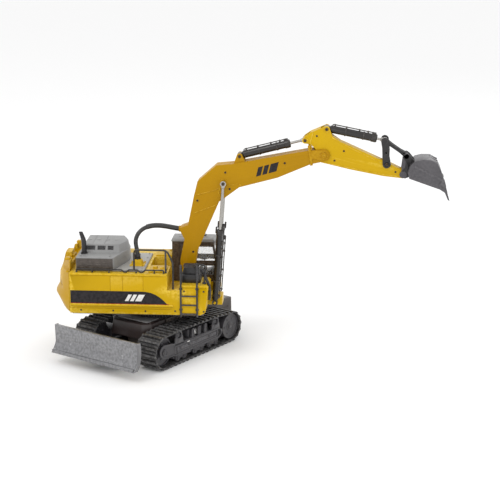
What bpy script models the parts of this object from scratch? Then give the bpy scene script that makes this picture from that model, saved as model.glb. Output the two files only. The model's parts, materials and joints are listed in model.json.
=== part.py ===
"""Remote control excavator with a dozer blade: frame, shells, linkages and running gear.

World axes: +X runs forward along the boom, +Y is the machine's left, +Z is up.
The undercarriage stands turned under the house, as it does when the house has slewed.
"""
import math

import bmesh
import bpy
from mathutils import Vector

MM = 0.001
GAP = 0.3 * MM

# Running gear, in the undercarriage's own axes: x along the tracks, y to its left
SLEW_REST = math.radians(-121.8)
TRACK_GAUGE = 126 * MM
BELT_WIDTH = 40 * MM
BELT_PLATE = 2.2 * MM
GROUSER = 1.6 * MM
PAD_COUNT = 48
SPROCKET_X = -85.5 * MM
SPROCKET_R = 20.8 * MM
IDLER_X = 83 * MM
IDLER_R = 22.8 * MM
WHEEL_CLEAR = 0.7 * MM
CARRIER_X = (-45 * MM, 48 * MM)
CARRIER_R = 6 * MM
CARRIER_TOP = (50.2 * MM, 52.6 * MM)
WHEEL_WIDTH = 24 * MM
BEAM_FRONT = IDLER_X - IDLER_R - 0.2 * MM
BEAM_REAR = SPROCKET_X + SPROCKET_R + 2.7 * MM
CHASSIS_HALF = 41 * MM
CHASSIS_REAR = -68 * MM
CHASSIS_FRONT = 30 * MM
CHASSIS_TOP = 60 * MM
REAR_BOX_END = -140 * MM
REAR_BOX_TOP = 55 * MM
SWITCH_X = -122 * MM
SWITCH_TRAVEL = 6 * MM
COVER_FRONT = 80 * MM
COVER_LOW = 37 * MM
SLEW_RING_R = 44 * MM
SLEW_RING_TOP = 73 * MM

# Dozer blade
BLADE_WIDTH = 166 * MM
BLADE_LOW = 17 * MM
BLADE_HEIGHT = 43 * MM
BLADE_REACH = 161 * MM
BLADE_LEAN = 10 * MM
BLADE_HOLLOW = 6 * MM
BLADE_SKIN = 2.4 * MM
BLADE_PIVOT = (50 * MM, 26 * MM)
BLADE_ARM_Y = 22 * MM
BLADE_ARM_WIDTH = 8 * MM

# House
DECK_LOW = 74.3 * MM
DECK_THICK = 4 * MM
DECK_BAY = 62 * MM
HOUSE_HALF = 75 * MM
HOUSE_REAR = -127 * MM
HOUSE_STEP = 24 * MM
HOUSE_LOW = 76 * MM
HOUSE_TOP = 140 * MM
HOUSE_WALL = 2 * MM
BOX_FRONT = 87 * MM
BOX_TOP = 123 * MM
WALKWAY_TOP = 114.5 * MM
WALKWAY_FRONT = 42 * MM
BAY_REAR = -8 * MM
BAY_FLOOR = 98 * MM
TAIL_EDGE = -128 * MM
TAIL_SWEEP = 20 * MM
TAIL_BULGE = 12 * MM
TAIL_TOP = 156 * MM
HOOD_HALF = 64 * MM
HOOD_REAR = -118 * MM
HOOD_FRONT = -60 * MM
HOOD_NOSE = -44 * MM
HOOD_TOP = 162 * MM
RIDGE_TOP = 174 * MM
RIDGE_HALF = 28 * MM
HOOD_WALL = 1.8 * MM

# Cab
CAB_REAR = 20 * MM
CAB_FRONT = 94 * MM
CAB_FAR = 70 * MM
CAB_LOW = 101 * MM
CAB_TOP = 165.5 * MM
CAB_WALL = 2 * MM
CAB_RAKE = 8 * MM
GLASS = 1 * MM
ROOF_THICK = 4.5 * MM

# Boom, arm and bucket, as points (x, z) in the boom's plane
BOOM_HALF = 12 * MM
SHELL_WALL = 2 * MM
ARM_CLEAR = 0.6 * MM
ARM_HALF = BOOM_HALF - SHELL_WALL - ARM_CLEAR
FOOT = (48 * MM, 126 * MM)
FOOT_R = 11 * MM
ARM_PIN = (259.5 * MM, 316 * MM)
ARM_LUG_R = 9.5 * MM
BUCKET_PIN = (380.6 * MM, 287.5 * MM)
BUCKET_LUG_R = 6 * MM
ROCKER_PIN = (355.5 * MM, 303.4 * MM)
ROCKER_TOP = (352.4 * MM, 338.6 * MM)
LINK_PIN = (385.3 * MM, 316.2 * MM)
ROCKER_R = 6.2 * MM
BUCKET_WIDTH = 48 * MM
BUCKET_SKIN = 2 * MM
EAR_CLEAR = 0.5 * MM
EAR_IN = ARM_HALF + EAR_CLEAR
EAR_THICK = 2 * MM
PIN_R = 2 * MM
PIN_CLEAR = 0.3 * MM

# Cylinders
LIFT_FOOT = (92 * MM, 80 * MM)
LIFT_EYE = (105.9 * MM, 270.7 * MM)
LIFT_Y = BOOM_HALF + 5.8 * MM
BAY_HALF = LIFT_Y + 7.7 * MM
CAB_NEAR = BAY_HALF + 1 * MM
LIFT_BARREL = 118 * MM
LIFT_STROKE = 106 * MM
LIFT_R = 5 * MM
LIFT_BORE = 4.2 * MM
LIFT_ROD = 2.2 * MM
ARM_FOOT = (130.4 * MM, 312 * MM)
HORN = (230.7 * MM, 338 * MM)
ARM_BARREL = 80 * MM
ARM_STROKE = 72 * MM
ARM_CYL_R = 5.9 * MM
ARM_BORE = 5.3 * MM
DIG_FOOT = (263.5 * MM, 356 * MM)
DIG_BARREL = 78 * MM
DIG_STROKE = 74 * MM
DIG_R = 5.9 * MM
DIG_BORE = 5.3 * MM
ROD_R = 2 * MM
EYE_R = 4.4 * MM
ROD_EYE = 3 * MM
ROUND = 20

# Ladder, rails and hose
LADDER_X = (45 * MM, 70 * MM)
LADDER_LOW = 73 * MM
LADDER_TOP = 153 * MM
STILE = 2.4 * MM
RUNG_PITCH = 14.3 * MM
FIRST_RUNG = 5 * MM
RAIL_Y = -70 * MM
RAIL_THICK = 2.4 * MM
RAIL_TOP = 146 * MM
HIGH_RAIL = 176 * MM
HOSE_R = 3.4 * MM
GLAND = (-27 * MM, -30 * MM, 152 * MM)

for old in list(bpy.data.objects):
    bpy.data.objects.remove(old, do_unlink=True)


def material(name, colour, rough, metal=0.0, alpha=1.0):
    mat = bpy.data.materials.new(name)
    mat.use_nodes = True
    shader = mat.node_tree.nodes["Principled BSDF"]
    shader.inputs["Base Color"].default_value = (*colour, 1)
    shader.inputs["Roughness"].default_value = rough
    shader.inputs["Metallic"].default_value = metal
    shader.inputs["Alpha"].default_value = alpha
    return mat


YELLOW = material("yellow", (0.72, 0.42, 0.01), 0.42)
BOOM_YELLOW = material("boom_yellow", (0.62, 0.33, 0.01), 0.42)
DARK = material("dark", (0.045, 0.043, 0.046), 0.55)
BLACK = material("black", (0.02, 0.02, 0.021), 0.5)
GREY = material("grey", (0.3, 0.3, 0.31), 0.5)
SILVER = material("silver", (0.34, 0.34, 0.35), 0.4, 0.5)
STEEL = material("steel", (0.6, 0.6, 0.61), 0.25, 0.9)
CLEAR = material("clear", (0.8, 0.85, 0.86), 0.08, 0.0, 0.3)
BOARD = material("board", (0.02, 0.2, 0.07), 0.6)


def empty(name, parent=None, place=(0, 0, 0), turn=0.0):
    obj = bpy.data.objects.new(name, None)
    bpy.context.collection.objects.link(obj)
    obj.parent = parent
    obj.location = place
    obj.rotation_euler[2] = turn
    return obj


ROOT = empty("excavator_axes")
AXES = {}
PLACE = {}


def body(name, parent, place, turn=0.0):
    """An empty on a body's joint axis; its pieces are modelled in the parent frame's coordinates."""
    base = AXES.get(parent, ROOT)
    shift = Vector(place) - PLACE.get(parent, Vector())
    AXES[name] = empty(name + "_axis", base, shift, turn)
    PLACE[name] = Vector(place)


def at(point, y=0.0):
    return (point[0], y, point[1])


# ---------------------------------------------------------------- shapes
def closed(bm):
    bmesh.ops.remove_doubles(bm, verts=bm.verts, dist=1e-7)
    bmesh.ops.recalc_face_normals(bm, faces=bm.faces)
    return bm


def loft(rings, caps=True):
    """A closed skin through rings of equally many points."""
    bm = bmesh.new()
    rows = [[bm.verts.new(p) for p in ring] for ring in rings]
    count = len(rows[0])
    for low, high in zip(rows, rows[1:]):
        for i in range(count):
            j = (i + 1) % count
            bm.faces.new((low[i], low[j], high[j], high[i]))
    if caps:
        bm.faces.new(rows[0])
        bm.faces.new(rows[-1])
    return closed(bm)


def side_prism(outline, low, high):
    """An outline of (x, z) points, extruded along Y."""
    return loft([[(x, y, z) for x, z in outline] for y in (low, high)])


def plan_prism(outline, low, high):
    """An outline of (x, y) points, extruded along Z."""
    return loft([[(x, y, z) for x, y in outline] for z in (low, high)])


def block(x, y, z):
    return side_prism([(x[0], z[0]), (x[1], z[0]), (x[1], z[1]), (x[0], z[1])], *y)


def frustum(low, high, z):
    """A block whose top outline differs from its base outline, both as (x, y) points."""
    return loft([[(x, y, h) for x, y in ring] for ring, h in zip((low, high), z)])


def arc(centre, radius, start, end, steps):
    """Points on an arc, angles in degrees from +X towards +Z."""
    turns = [math.radians(start + (end - start) * i / steps) for i in range(steps + 1)]
    return [(centre[0] + radius * math.cos(t), centre[1] + radius * math.sin(t)) for t in turns]


def disc(centre, radius, low, high, steps=ROUND):
    return side_prism(arc(centre, radius, 0, 360, steps)[:-1], low, high)


def turned(profile, centre, steps=ROUND):
    """A profile of (radius, y) points turned about the Y axis through centre; it may close on itself."""
    rings = []
    for radius, y in profile:
        rings.append([(x, y, z) for x, z in arc(centre, radius, 0, 360, steps)[:-1]])
    return loft(rings)


def upright(profile, centre, steps=ROUND):
    """A profile of (radius, z) points turned about the Z axis through centre."""
    rings = []
    for radius, z in profile:
        rings.append([(x, y, z) for x, y in arc(centre, radius, 0, 360, steps)[:-1]])
    return loft(rings)


def inset(outline, depth):
    """The outline moved inwards by depth, corner by corner."""
    area = 0.0
    for (ax, az), (bx, bz) in zip(outline, outline[1:] + outline[:1]):
        area += ax * bz - bx * az
    side = 1 if area > 0 else -1
    count = len(outline)
    moved = []
    for i in range(count):
        before = Vector(outline[i]) - Vector(outline[i - 1])
        after = Vector(outline[(i + 1) % count]) - Vector(outline[i])
        n1 = Vector((-before.y, before.x)).normalized() * side
        n2 = Vector((-after.y, after.x)).normalized() * side
        bend = (n1 + n2).normalized()
        reach = depth / max(bend.dot(n1), 0.4)
        moved.append(tuple(Vector(outline[i]) + bend * reach))
    return moved


# ---------------------------------------------------------------- pieces
def place(name, bm, mat, owner, smooth=35):
    mesh = bpy.data.meshes.new(name)
    bm.to_mesh(mesh)
    bm.free()
    mesh.shade_smooth()
    mesh.set_sharp_from_angle(angle=math.radians(smooth))
    mesh.materials.append(mat)
    obj = bpy.data.objects.new(name, mesh)
    bpy.context.collection.objects.link(obj)
    obj.parent = AXES[owner]
    obj.location = -PLACE[owner]
    return obj


def combine(obj, bm, operation):
    """Joins or cuts obj with another closed shape, in the same coordinates."""
    tool = place("tool_" + obj.name, bm, obj.data.materials[0], "undercarriage")
    tool.parent = obj.parent
    tool.location = obj.location
    tool.hide_render = True
    tool.display_type = "WIRE"
    step = obj.modifiers.new(operation.lower(), "BOOLEAN")
    step.operation = operation
    step.solver = "EXACT"
    step.object = tool


def cut(obj, *shapes):
    for bm in shapes:
        combine(obj, bm, "DIFFERENCE")


def join(obj, *shapes):
    for bm in shapes:
        combine(obj, bm, "UNION")


def bevel(obj, width, segments=2, angle=40):
    step = obj.modifiers.new("edge", "BEVEL")
    step.width = width
    step.segments = segments
    step.limit_method = "ANGLE"
    step.angle_limit = math.radians(angle)


def both(near, far):
    """The same span on either side of the middle plane."""
    return (("left", 1, (near, far)), ("right", -1, (-far, -near)))


# ---------------------------------------------------------------- undercarriage
SPROCKET = (SPROCKET_X, BELT_PLATE + GROUSER + WHEEL_CLEAR + SPROCKET_R)
IDLER = (IDLER_X, BELT_PLATE + GROUSER + WHEEL_CLEAR + IDLER_R)
CARRIERS = [(x, top - WHEEL_CLEAR - CARRIER_R) for x, top in zip(CARRIER_X, CARRIER_TOP)]
HALF_GAUGE = TRACK_GAUGE / 2


def tangent(c1, r1, c2, r2):
    """The outer tangent over two circles, on the left of the way from c1 to c2."""
    a, b = Vector(c1), Vector(c2)
    way = b - a
    lean = math.asin((r1 - r2) / way.length)
    angle = math.atan2(way.y, way.x) + math.pi / 2 - lean
    out = Vector((math.cos(angle), math.sin(angle)))
    return a + out * r1, b + out * r2


def belt_path():
    """The belt's inner line, clockwise from the sprocket's top, evenly spaced."""
    wheels = [(SPROCKET, SPROCKET_R), (CARRIERS[0], CARRIER_R), (CARRIERS[1], CARRIER_R), (IDLER, IDLER_R)]
    wheels = [(c, r + WHEEL_CLEAR) for c, r in wheels]
    loop = wheels + wheels[:1]
    ends = [tangent(c1, r1, c2, r2) for (c1, r1), (c2, r2) in zip(loop, loop[1:])]
    points = []
    for i, (c, r) in enumerate(wheels):
        arrive = ends[i - 1][1] - Vector(c)
        leave = ends[i][0] - Vector(c)
        start = math.atan2(arrive.y, arrive.x)
        sweep = (start - math.atan2(leave.y, leave.x)) % (2 * math.pi)
        steps = max(2, int(sweep / math.radians(3)))
        for k in range(steps + 1):
            t = start - sweep * k / steps
            points.append(Vector((c[0] + r * math.cos(t), c[1] + r * math.sin(t))))
    points.append(points[0])
    lengths = [0.0]
    for a, b in zip(points, points[1:]):
        lengths.append(lengths[-1] + (b - a).length)
    return points, lengths


def belt_stations(shares):
    """Points and outward directions at the given shares of each pad's pitch."""
    points, lengths = belt_path()
    found = []
    at_span = 0
    for pad in range(PAD_COUNT):
        for share in shares:
            want = lengths[-1] * (pad + share) / PAD_COUNT
            while lengths[at_span + 1] < want:
                at_span += 1
            a, b = points[at_span], points[at_span + 1]
            way = (b - a).normalized()
            found.append((a + way * (want - lengths[at_span]), Vector((-way.y, way.x))))
    return found


def track_belt(side, low, high):
    shares = (0.02, 0.34, 0.4, 0.62)
    heights = (BELT_PLATE, BELT_PLATE, BELT_PLATE + GROUSER, BELT_PLATE + GROUSER)
    stations = belt_stations(shares)
    rings = []
    for i, (point, out) in enumerate(stations):
        top = point + out * heights[i % len(heights)]
        rings.append([(point.x, low, point.y), (top.x, low, top.y),
                      (top.x, high, top.y), (point.x, high, point.y)])
    place("track_belt_" + side, loft(rings + rings[:1], caps=False), BLACK, "undercarriage")


def track_frame(side, sign, inner, outer):
    beam = [(BEAM_REAR, 20 * MM), (BEAM_REAR + 8 * MM, 14 * MM), (BEAM_FRONT, 14 * MM),
            (BEAM_FRONT, 34 * MM), (BEAM_REAR + 6 * MM, 32 * MM)]
    obj = place("track_frame_" + side, side_prism(beam, inner, outer), DARK, "undercarriage")
    plate = outer - 2.4 * MM if sign > 0 else inner
    plate_end = outer if sign > 0 else inner + 2.4 * MM
    for x, z in CARRIERS:
        arch = [(x - 11.5 * MM, 30 * MM), (x + 11.5 * MM, 30 * MM)] + arc((x, z), 6.5 * MM, 30, 150, 6)
        join(obj, side_prism(arch, plate, plate_end))
    middle = [(-24 * MM, 30 * MM), (16 * MM, 30 * MM), (14 * MM, 46 * MM), (-22 * MM, 45 * MM)]
    join(obj, side_prism(middle, inner + 4 * MM, outer - 4 * MM))
    ix, iz = IDLER
    yoke = [(BEAM_FRONT - 4 * MM, 16 * MM), (ix + 4 * MM, iz - 10.3 * MM), (ix + 11 * MM, iz + 1.7 * MM),
            (ix + 5 * MM, iz + 10.7 * MM), (BEAM_FRONT - 4 * MM, 33 * MM)]
    join(obj, side_prism(yoke, plate, plate_end))
    rear = [(BEAM_REAR + 14 * MM, 16 * MM), (BEAM_REAR + 14 * MM, 31 * MM),
            (BEAM_REAR - 1 * MM, 27 * MM), (BEAM_REAR - 1 * MM, 20 * MM)]
    join(obj, side_prism(rear, plate, plate_end))


def wheel(name, centre, radius, middle, width, hub, owner):
    """A turned wheel with a dished face and a raised hub on each side."""
    half = width / 2
    profile = [(radius * 0.3, middle - half - hub), (radius * 0.34, middle - half - hub),
               (radius * 0.42, middle - half + 1 * MM), (radius * 0.8, middle - half + 1 * MM),
               (radius * 0.86, middle - half), (radius, middle - half + 0.8 * MM),
               (radius, middle + half - 0.8 * MM), (radius * 0.86, middle + half),
               (radius * 0.8, middle + half - 1 * MM), (radius * 0.42, middle + half - 1 * MM),
               (radius * 0.34, middle + half + hub), (radius * 0.3, middle + half + hub)]
    place(name, turned(profile, centre, 28 if radius > 10 * MM else 14), DARK, owner)


def bottom_rollers(side, inner, outer):
    low = BELT_PLATE + GROUSER + WHEEL_CLEAR
    bar = block((-56 * MM, 58 * MM), (inner, outer), (9 * MM, 14 * MM - GAP))
    obj = place("bottom_rollers_" + side, bar, DARK, "undercarriage")
    for x in (-46 * MM, -30 * MM, -12 * MM, 10 * MM, 34 * MM, 50 * MM):
        join(obj, disc((x, low + 4.5 * MM), 4.5 * MM, inner - 1.2 * MM, outer + 1.2 * MM, 12))


def undercarriage():
    body("undercarriage", None, (0, 0, 0), SLEW_REST)
    beam_in = HALF_GAUGE - BELT_WIDTH / 2 + 4 * MM
    beam_out = HALF_GAUGE + BELT_WIDTH / 2 - 3 * MM
    frame = block((CHASSIS_REAR, CHASSIS_FRONT), (-CHASSIS_HALF, CHASSIS_HALF), (16 * MM, CHASSIS_TOP))
    obj = place("chassis_frame", frame, DARK, "undercarriage")
    reach = beam_in - GAP
    for x in ((-48 * MM, -22 * MM), (2 * MM, 26 * MM)):
        join(obj, block(x, (-reach, reach), (20 * MM, 40 * MM)))
    join(obj, block((CHASSIS_FRONT - 1 * MM, BLADE_PIVOT[0] + 8 * MM), (-15 * MM, 15 * MM),
                    (18 * MM, 36 * MM)))
    join(obj, disc(BLADE_PIVOT, 2.5 * MM, -28 * MM, 28 * MM, 16))
    cut(obj, block((CHASSIS_REAR + 3 * MM, CHASSIS_FRONT - 3 * MM), (-38 * MM, 38 * MM),
                   (0, CHASSIS_TOP - 4 * MM)))

    cover = frustum([(CHASSIS_FRONT + GAP, -CHASSIS_HALF), (COVER_FRONT - 14 * MM, -CHASSIS_HALF),
                     (COVER_FRONT, -30 * MM), (COVER_FRONT, 30 * MM), (COVER_FRONT - 14 * MM, CHASSIS_HALF),
                     (CHASSIS_FRONT + GAP, CHASSIS_HALF)],
                    [(CHASSIS_FRONT + GAP, -CHASSIS_HALF + 2 * MM),
                     (COVER_FRONT - 16 * MM, -CHASSIS_HALF + 2 * MM),
                     (COVER_FRONT - 4 * MM, -28 * MM), (COVER_FRONT - 4 * MM, 28 * MM),
                     (COVER_FRONT - 16 * MM, CHASSIS_HALF - 2 * MM), (CHASSIS_FRONT + GAP,
                                                                      CHASSIS_HALF - 2 * MM)],
                    (COVER_LOW, CHASSIS_TOP))
    obj = place("chassis_cover", cover, GREY, "undercarriage")
    cut(obj, block((CHASSIS_FRONT + 3 * MM, COVER_FRONT - 18 * MM), (-36 * MM, 36 * MM),
                   (0, CHASSIS_TOP - 2.4 * MM)))

    rear = [(REAR_BOX_END, 20 * MM), (CHASSIS_REAR - GAP, 18 * MM), (CHASSIS_REAR - GAP, REAR_BOX_TOP),
            (REAR_BOX_END + 1 * MM, REAR_BOX_TOP)]
    obj = place("rear_housing", side_prism(rear, -CHASSIS_HALF, CHASSIS_HALF), GREY, "undercarriage")
    cut(obj, block((REAR_BOX_END + 3 * MM, CHASSIS_REAR - 2.5 * MM), (-38.5 * MM, 38.5 * MM),
                   (0, REAR_BOX_TOP - 2 * MM)))
    cut(obj, disc(SPROCKET, 5 * MM, -50 * MM, 50 * MM, 12))
    door = block((REAR_BOX_END + 3.4 * MM, -100 * MM), (-38 * MM, 38 * MM), (20.5 * MM, 22.5 * MM))
    obj = place("battery_door", door, DARK, "undercarriage")
    slot_x = (SWITCH_X - 2.5 * MM, SWITCH_X + SWITCH_TRAVEL + 2.5 * MM)
    cut(obj, block(slot_x, (-5 * MM, 5 * MM), (0, 1)))
    pack = block((-134 * MM, -104 * MM), (-32 * MM, 32 * MM), (31 * MM, 49 * MM))
    bevel(place("battery_pack", pack, BLACK, "undercarriage"), 3 * MM)

    ring = upright([(SLEW_RING_R - 8 * MM, CHASSIS_TOP + GAP), (SLEW_RING_R, CHASSIS_TOP + GAP),
                    (SLEW_RING_R, SLEW_RING_TOP - 5 * MM), (SLEW_RING_R - 4 * MM, SLEW_RING_TOP),
                    (SLEW_RING_R - 8 * MM, SLEW_RING_TOP)], (0, 0), 32)
    obj = place("slew_ring", ring, BLACK, "undercarriage")
    cut(obj, upright([(SLEW_RING_R - 12 * MM, 0), (SLEW_RING_R - 12 * MM, 0.1)], (0, 0), 32))

    for side, _, (low, high) in both(HALF_GAUGE - BELT_WIDTH / 2, HALF_GAUGE + BELT_WIDTH / 2):
        track_belt(side, low, high)
    for side, sign, (low, high) in both(beam_in, beam_out):
        track_frame(side, sign, low, high)
        bottom_rollers(side, low + 4 * MM, high - 4 * MM)
    for side, sign in (("left", 1), ("right", -1)):
        middle = sign * HALF_GAUGE
        body("sprocket_" + side, "undercarriage", at(SPROCKET, middle))
        wheel("sprocket_" + side, SPROCKET, SPROCKET_R, middle, WHEEL_WIDTH + 8 * MM, 1.5 * MM,
              "sprocket_" + side)
        body("idler_" + side, "undercarriage", at(IDLER, middle))
        wheel("idler_" + side, IDLER, IDLER_R, middle, WHEEL_WIDTH, 0.8 * MM, "idler_" + side)
        for end, centre in zip(("rear", "front"), CARRIERS):
            name = "carrier_roller_" + side + "_" + end
            body(name, "undercarriage", at(centre, middle))
            wheel(name, centre, CARRIER_R, middle, WHEEL_WIDTH + 2 * MM, 0.4 * MM, name)
        reach = middle - sign * (WHEEL_WIDTH / 2 + 8 * MM)
        span = sorted((sign * 8 * MM, sign * 37 * MM))
        motor = block((SPROCKET_X - 12 * MM, SPROCKET_X + 14 * MM), span, (14 * MM, 38 * MM))
        obj = place("drive_gearbox_" + side, motor, DARK, "undercarriage")
        shaft = sorted((sign * 36 * MM, reach))
        join(obj, disc(SPROCKET, 3 * MM, *shaft, 16))

    body("power_switch", "undercarriage", (SWITCH_X, 0, 20.5 * MM))
    knob = block((SWITCH_X - 2 * MM, SWITCH_X + 2 * MM), (-3 * MM, 3 * MM), (19.4 * MM, 24 * MM))
    place("power_switch", knob, BLACK, "power_switch")


def blade():
    body("blade", "undercarriage", at(BLADE_PIVOT))
    half = BLADE_WIDTH / 2
    front, back = [], []
    steps = 8
    for i in range(steps + 1):
        share = i / steps
        x = BLADE_REACH - BLADE_LEAN * share - BLADE_HOLLOW * math.sin(math.pi * share)
        z = BLADE_LOW + BLADE_HEIGHT * share
        front.append((x, z))
        back.append((x - BLADE_SKIN, z))
    obj = place("blade", side_prism(front + back[::-1], -half, half), SILVER, "blade")
    cheek = front + [(front[-1][0] - 7 * MM, front[-1][1])] + \
        [(BLADE_REACH - 19 * MM, BLADE_LOW + 30 * MM), (BLADE_REACH - 15 * MM, BLADE_LOW + 12 * MM)]
    for low, high in ((-half, -half + 2 * MM), (half - 2 * MM, half)):
        join(obj, side_prism(cheek, low, high))
    px, pz = BLADE_PIVOT
    mount = BLADE_REACH - BLADE_HOLLOW - BLADE_LEAN - BLADE_SKIN
    arm = arc(BLADE_PIVOT, 6 * MM, 110, 270, 8) + \
        [(px + 30 * MM, 17 * MM), (px + 62 * MM, 17 * MM), (mount - 8 * MM, 21 * MM),
         (mount - 2 * MM, 22 * MM),
         (mount - 3 * MM, 48 * MM), (mount - 12 * MM, 44 * MM), (px + 62 * MM, 29 * MM), (px + 30 * MM,
                                                                                          30 * MM)]
    low = BLADE_ARM_Y - BLADE_ARM_WIDTH / 2
    high = BLADE_ARM_Y + BLADE_ARM_WIDTH / 2
    obj = place("blade_frame", side_prism(arm, low, high), DARK, "blade")
    join(obj, side_prism(arm, -high, -low))
    join(obj, block((px + 56 * MM, px + 66 * MM), (-low - 1 * MM, low + 1 * MM), (19 * MM, 27 * MM)))
    join(obj, block((mount - 7 * MM, mount - 2.5 * MM), (-low - 1 * MM, low + 1 * MM), (24 * MM, 40 * MM)))
    cut(obj, disc(BLADE_PIVOT, 2.5 * MM + PIN_CLEAR, -40 * MM, 40 * MM, 16))


# ---------------------------------------------------------------- house
def house():
    body("house", None, (0, 0, DECK_LOW))
    inner = HOUSE_HALF - HOUSE_WALL - GAP
    plan = [(HOUSE_REAR + 3 * MM, -inner), (BOX_FRONT - 8 * MM, -inner),
            (BOX_FRONT - 8 * MM, -BAY_HALF - 3 * MM),
            (DECK_BAY, -BAY_HALF - 3 * MM), (DECK_BAY, BAY_HALF + 3 * MM), (CAB_FRONT - 6 * MM,
                                                                            BAY_HALF + 3 * MM),
            (CAB_FRONT - 6 * MM, inner), (HOUSE_REAR + 3 * MM, inner)]
    deck = plan_prism(plan, DECK_LOW, DECK_LOW + DECK_THICK)
    place("house_deck", deck, DARK, "house")

    shell = block((HOUSE_REAR, HOUSE_STEP), (-HOUSE_HALF, HOUSE_HALF), (HOUSE_LOW, HOUSE_TOP))
    obj = place("body_shell", shell, YELLOW, "house")
    box = [(HOUSE_STEP - 1 * MM, HOUSE_LOW), (BOX_FRONT - 12 * MM, HOUSE_LOW),
           (BOX_FRONT - 5 * MM, HOUSE_LOW + 4 * MM), (BOX_FRONT, BOX_TOP - 3 * MM), (BOX_FRONT - 3 * MM,
                                                                                     BOX_TOP),
           (WALKWAY_FRONT, BOX_TOP), (WALKWAY_FRONT, WALKWAY_TOP), (HOUSE_STEP - 1 * MM, WALKWAY_TOP)]
    join(obj, side_prism(box, -HOUSE_HALF, -BAY_HALF))
    plinth = [(HOUSE_STEP - 1 * MM, HOUSE_LOW), (CAB_FRONT - 4 * MM, HOUSE_LOW),
              (CAB_FRONT, HOUSE_LOW + 4 * MM),
              (CAB_FRONT, CAB_LOW - GAP), (HOUSE_STEP - 1 * MM, CAB_LOW - GAP)]
    join(obj, side_prism(plinth, BAY_HALF, HOUSE_HALF))
    w = HOUSE_WALL
    cut(obj, block((HOUSE_REAR + w, BAY_REAR - w), (-HOUSE_HALF + w, HOUSE_HALF - w), (0, HOUSE_TOP - w)))
    for low, high in ((-HOUSE_HALF + w, -BAY_HALF - w), (BAY_HALF + w, HOUSE_HALF - w)):
        cut(obj, block((BAY_REAR - w - 1 * MM, HOUSE_STEP - w), (low, high), (0, HOUSE_TOP - w)))
    cut(obj, side_prism(inset(box, w), -HOUSE_HALF + w, -BAY_HALF - w))
    cut(obj, block((HOUSE_STEP - w - 1 * MM, BOX_FRONT - 8 * MM), (-HOUSE_HALF + w, -BAY_HALF - w),
                   (0, WALKWAY_TOP - w)))
    cut(obj, block((HOUSE_STEP - w - 1 * MM, CAB_FRONT - 5 * MM), (BAY_HALF + w, HOUSE_HALF - w),
                   (0, CAB_LOW - w)))
    cut(obj, block((BAY_REAR, HOUSE_STEP + 2 * MM), (-BAY_HALF, BAY_HALF), (BAY_FLOOR, 0.3)))
    cut(obj, block((BAY_REAR - w - 1 * MM, HOUSE_STEP + 2 * MM),
                   (-BAY_HALF - w - 1 * MM, BAY_HALF + w + 1 * MM), (0, BAY_FLOOR - w)))
    cut(obj, block((CAB_REAR - 1 * MM, HOUSE_STEP + 2 * MM), (CAB_NEAR - 1 * MM, 0.1),
                   (CAB_LOW - GAP, 0.3)))

    cut(obj, plan_prism(inset(plan, -GAP), 0, DECK_LOW + DECK_THICK + GAP))

    arc_steps = 10
    rear = []
    for i in range(arc_steps + 1):
        y = -HOUSE_HALF + 2 * HOUSE_HALF * i / arc_steps
        rear.append((TAIL_EDGE - TAIL_SWEEP * (1 - (y / HOUSE_HALF) ** 2), y))
    front = [(HOUSE_REAR - GAP, HOUSE_HALF), (HOUSE_REAR - GAP, -HOUSE_HALF)]
    narrow = HOOD_HALF / HOUSE_HALF
    levels = ((1 * MM, HOUSE_LOW + 2 * MM, 1), (TAIL_BULGE, HOUSE_LOW + 22 * MM, 1),
              (TAIL_BULGE * 0.55, HOUSE_LOW + 31 * MM, 1), (TAIL_BULGE * 0.4, HOUSE_LOW + 52 * MM, 1),
              (0, HOUSE_TOP, 1), (0, HOUSE_TOP + 1 * MM, narrow), (-4 * MM, TAIL_TOP, narrow))
    rings = []
    for bulge, z, share in levels:
        ring = [(x - bulge * (1 - (y / HOUSE_HALF) ** 4), y * share, z) for x, y in rear]
        rings.append(ring + [(x, y * share, z) for x, y in front])
    tail = place("counterweight", loft(rings), YELLOW, "house")
    cut(tail, block((TAIL_EDGE - 6 * MM, HOUSE_REAR + 1 * MM), (-44 * MM, 44 * MM),
                    (TAIL_TOP - 8 * MM, 0.3)))

    top = HOUSE_TOP + GAP
    low = [(HOOD_REAR, -HOOD_HALF), (HOOD_FRONT, -HOOD_HALF), (HOOD_NOSE, -10 * MM),
           (HOOD_NOSE, 10 * MM),
           (HOOD_FRONT, HOOD_HALF), (HOOD_REAR, HOOD_HALF)]
    hood = place("engine_hood", plan_prism(low, top, HOOD_TOP), GREY, "house")
    base = [(HOOD_REAR + 4 * MM, -RIDGE_HALF - 8 * MM), (HOOD_FRONT + 6 * MM, -RIDGE_HALF - 8 * MM),
            (HOOD_NOSE, -8 * MM), (HOOD_NOSE, 8 * MM), (HOOD_FRONT + 6 * MM, RIDGE_HALF + 8 * MM),
            (HOOD_REAR + 4 * MM, RIDGE_HALF + 8 * MM)]
    crown = [(HOOD_REAR + 7 * MM, -RIDGE_HALF), (HOOD_FRONT + 4 * MM, -RIDGE_HALF),
             (HOOD_NOSE - 3 * MM, -6 * MM),
             (HOOD_NOSE - 3 * MM, 6 * MM), (HOOD_FRONT + 4 * MM, RIDGE_HALF), (HOOD_REAR + 7 * MM,
                                                                               RIDGE_HALF)]
    join(hood, frustum(base, crown, (HOOD_TOP - 1 * MM, RIDGE_TOP)))
    join(hood, block((HOOD_FRONT - 2 * MM, BAY_REAR - 4 * MM), (-HOOD_HALF, 40 * MM), (top, top + 2 * MM)))
    cut(hood, block((HOOD_REAR + 2 * MM, HOOD_FRONT - 4 * MM),
                    (-HOOD_HALF + HOOD_WALL, HOOD_HALF - HOOD_WALL), (0, HOOD_TOP - HOOD_WALL)))
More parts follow.
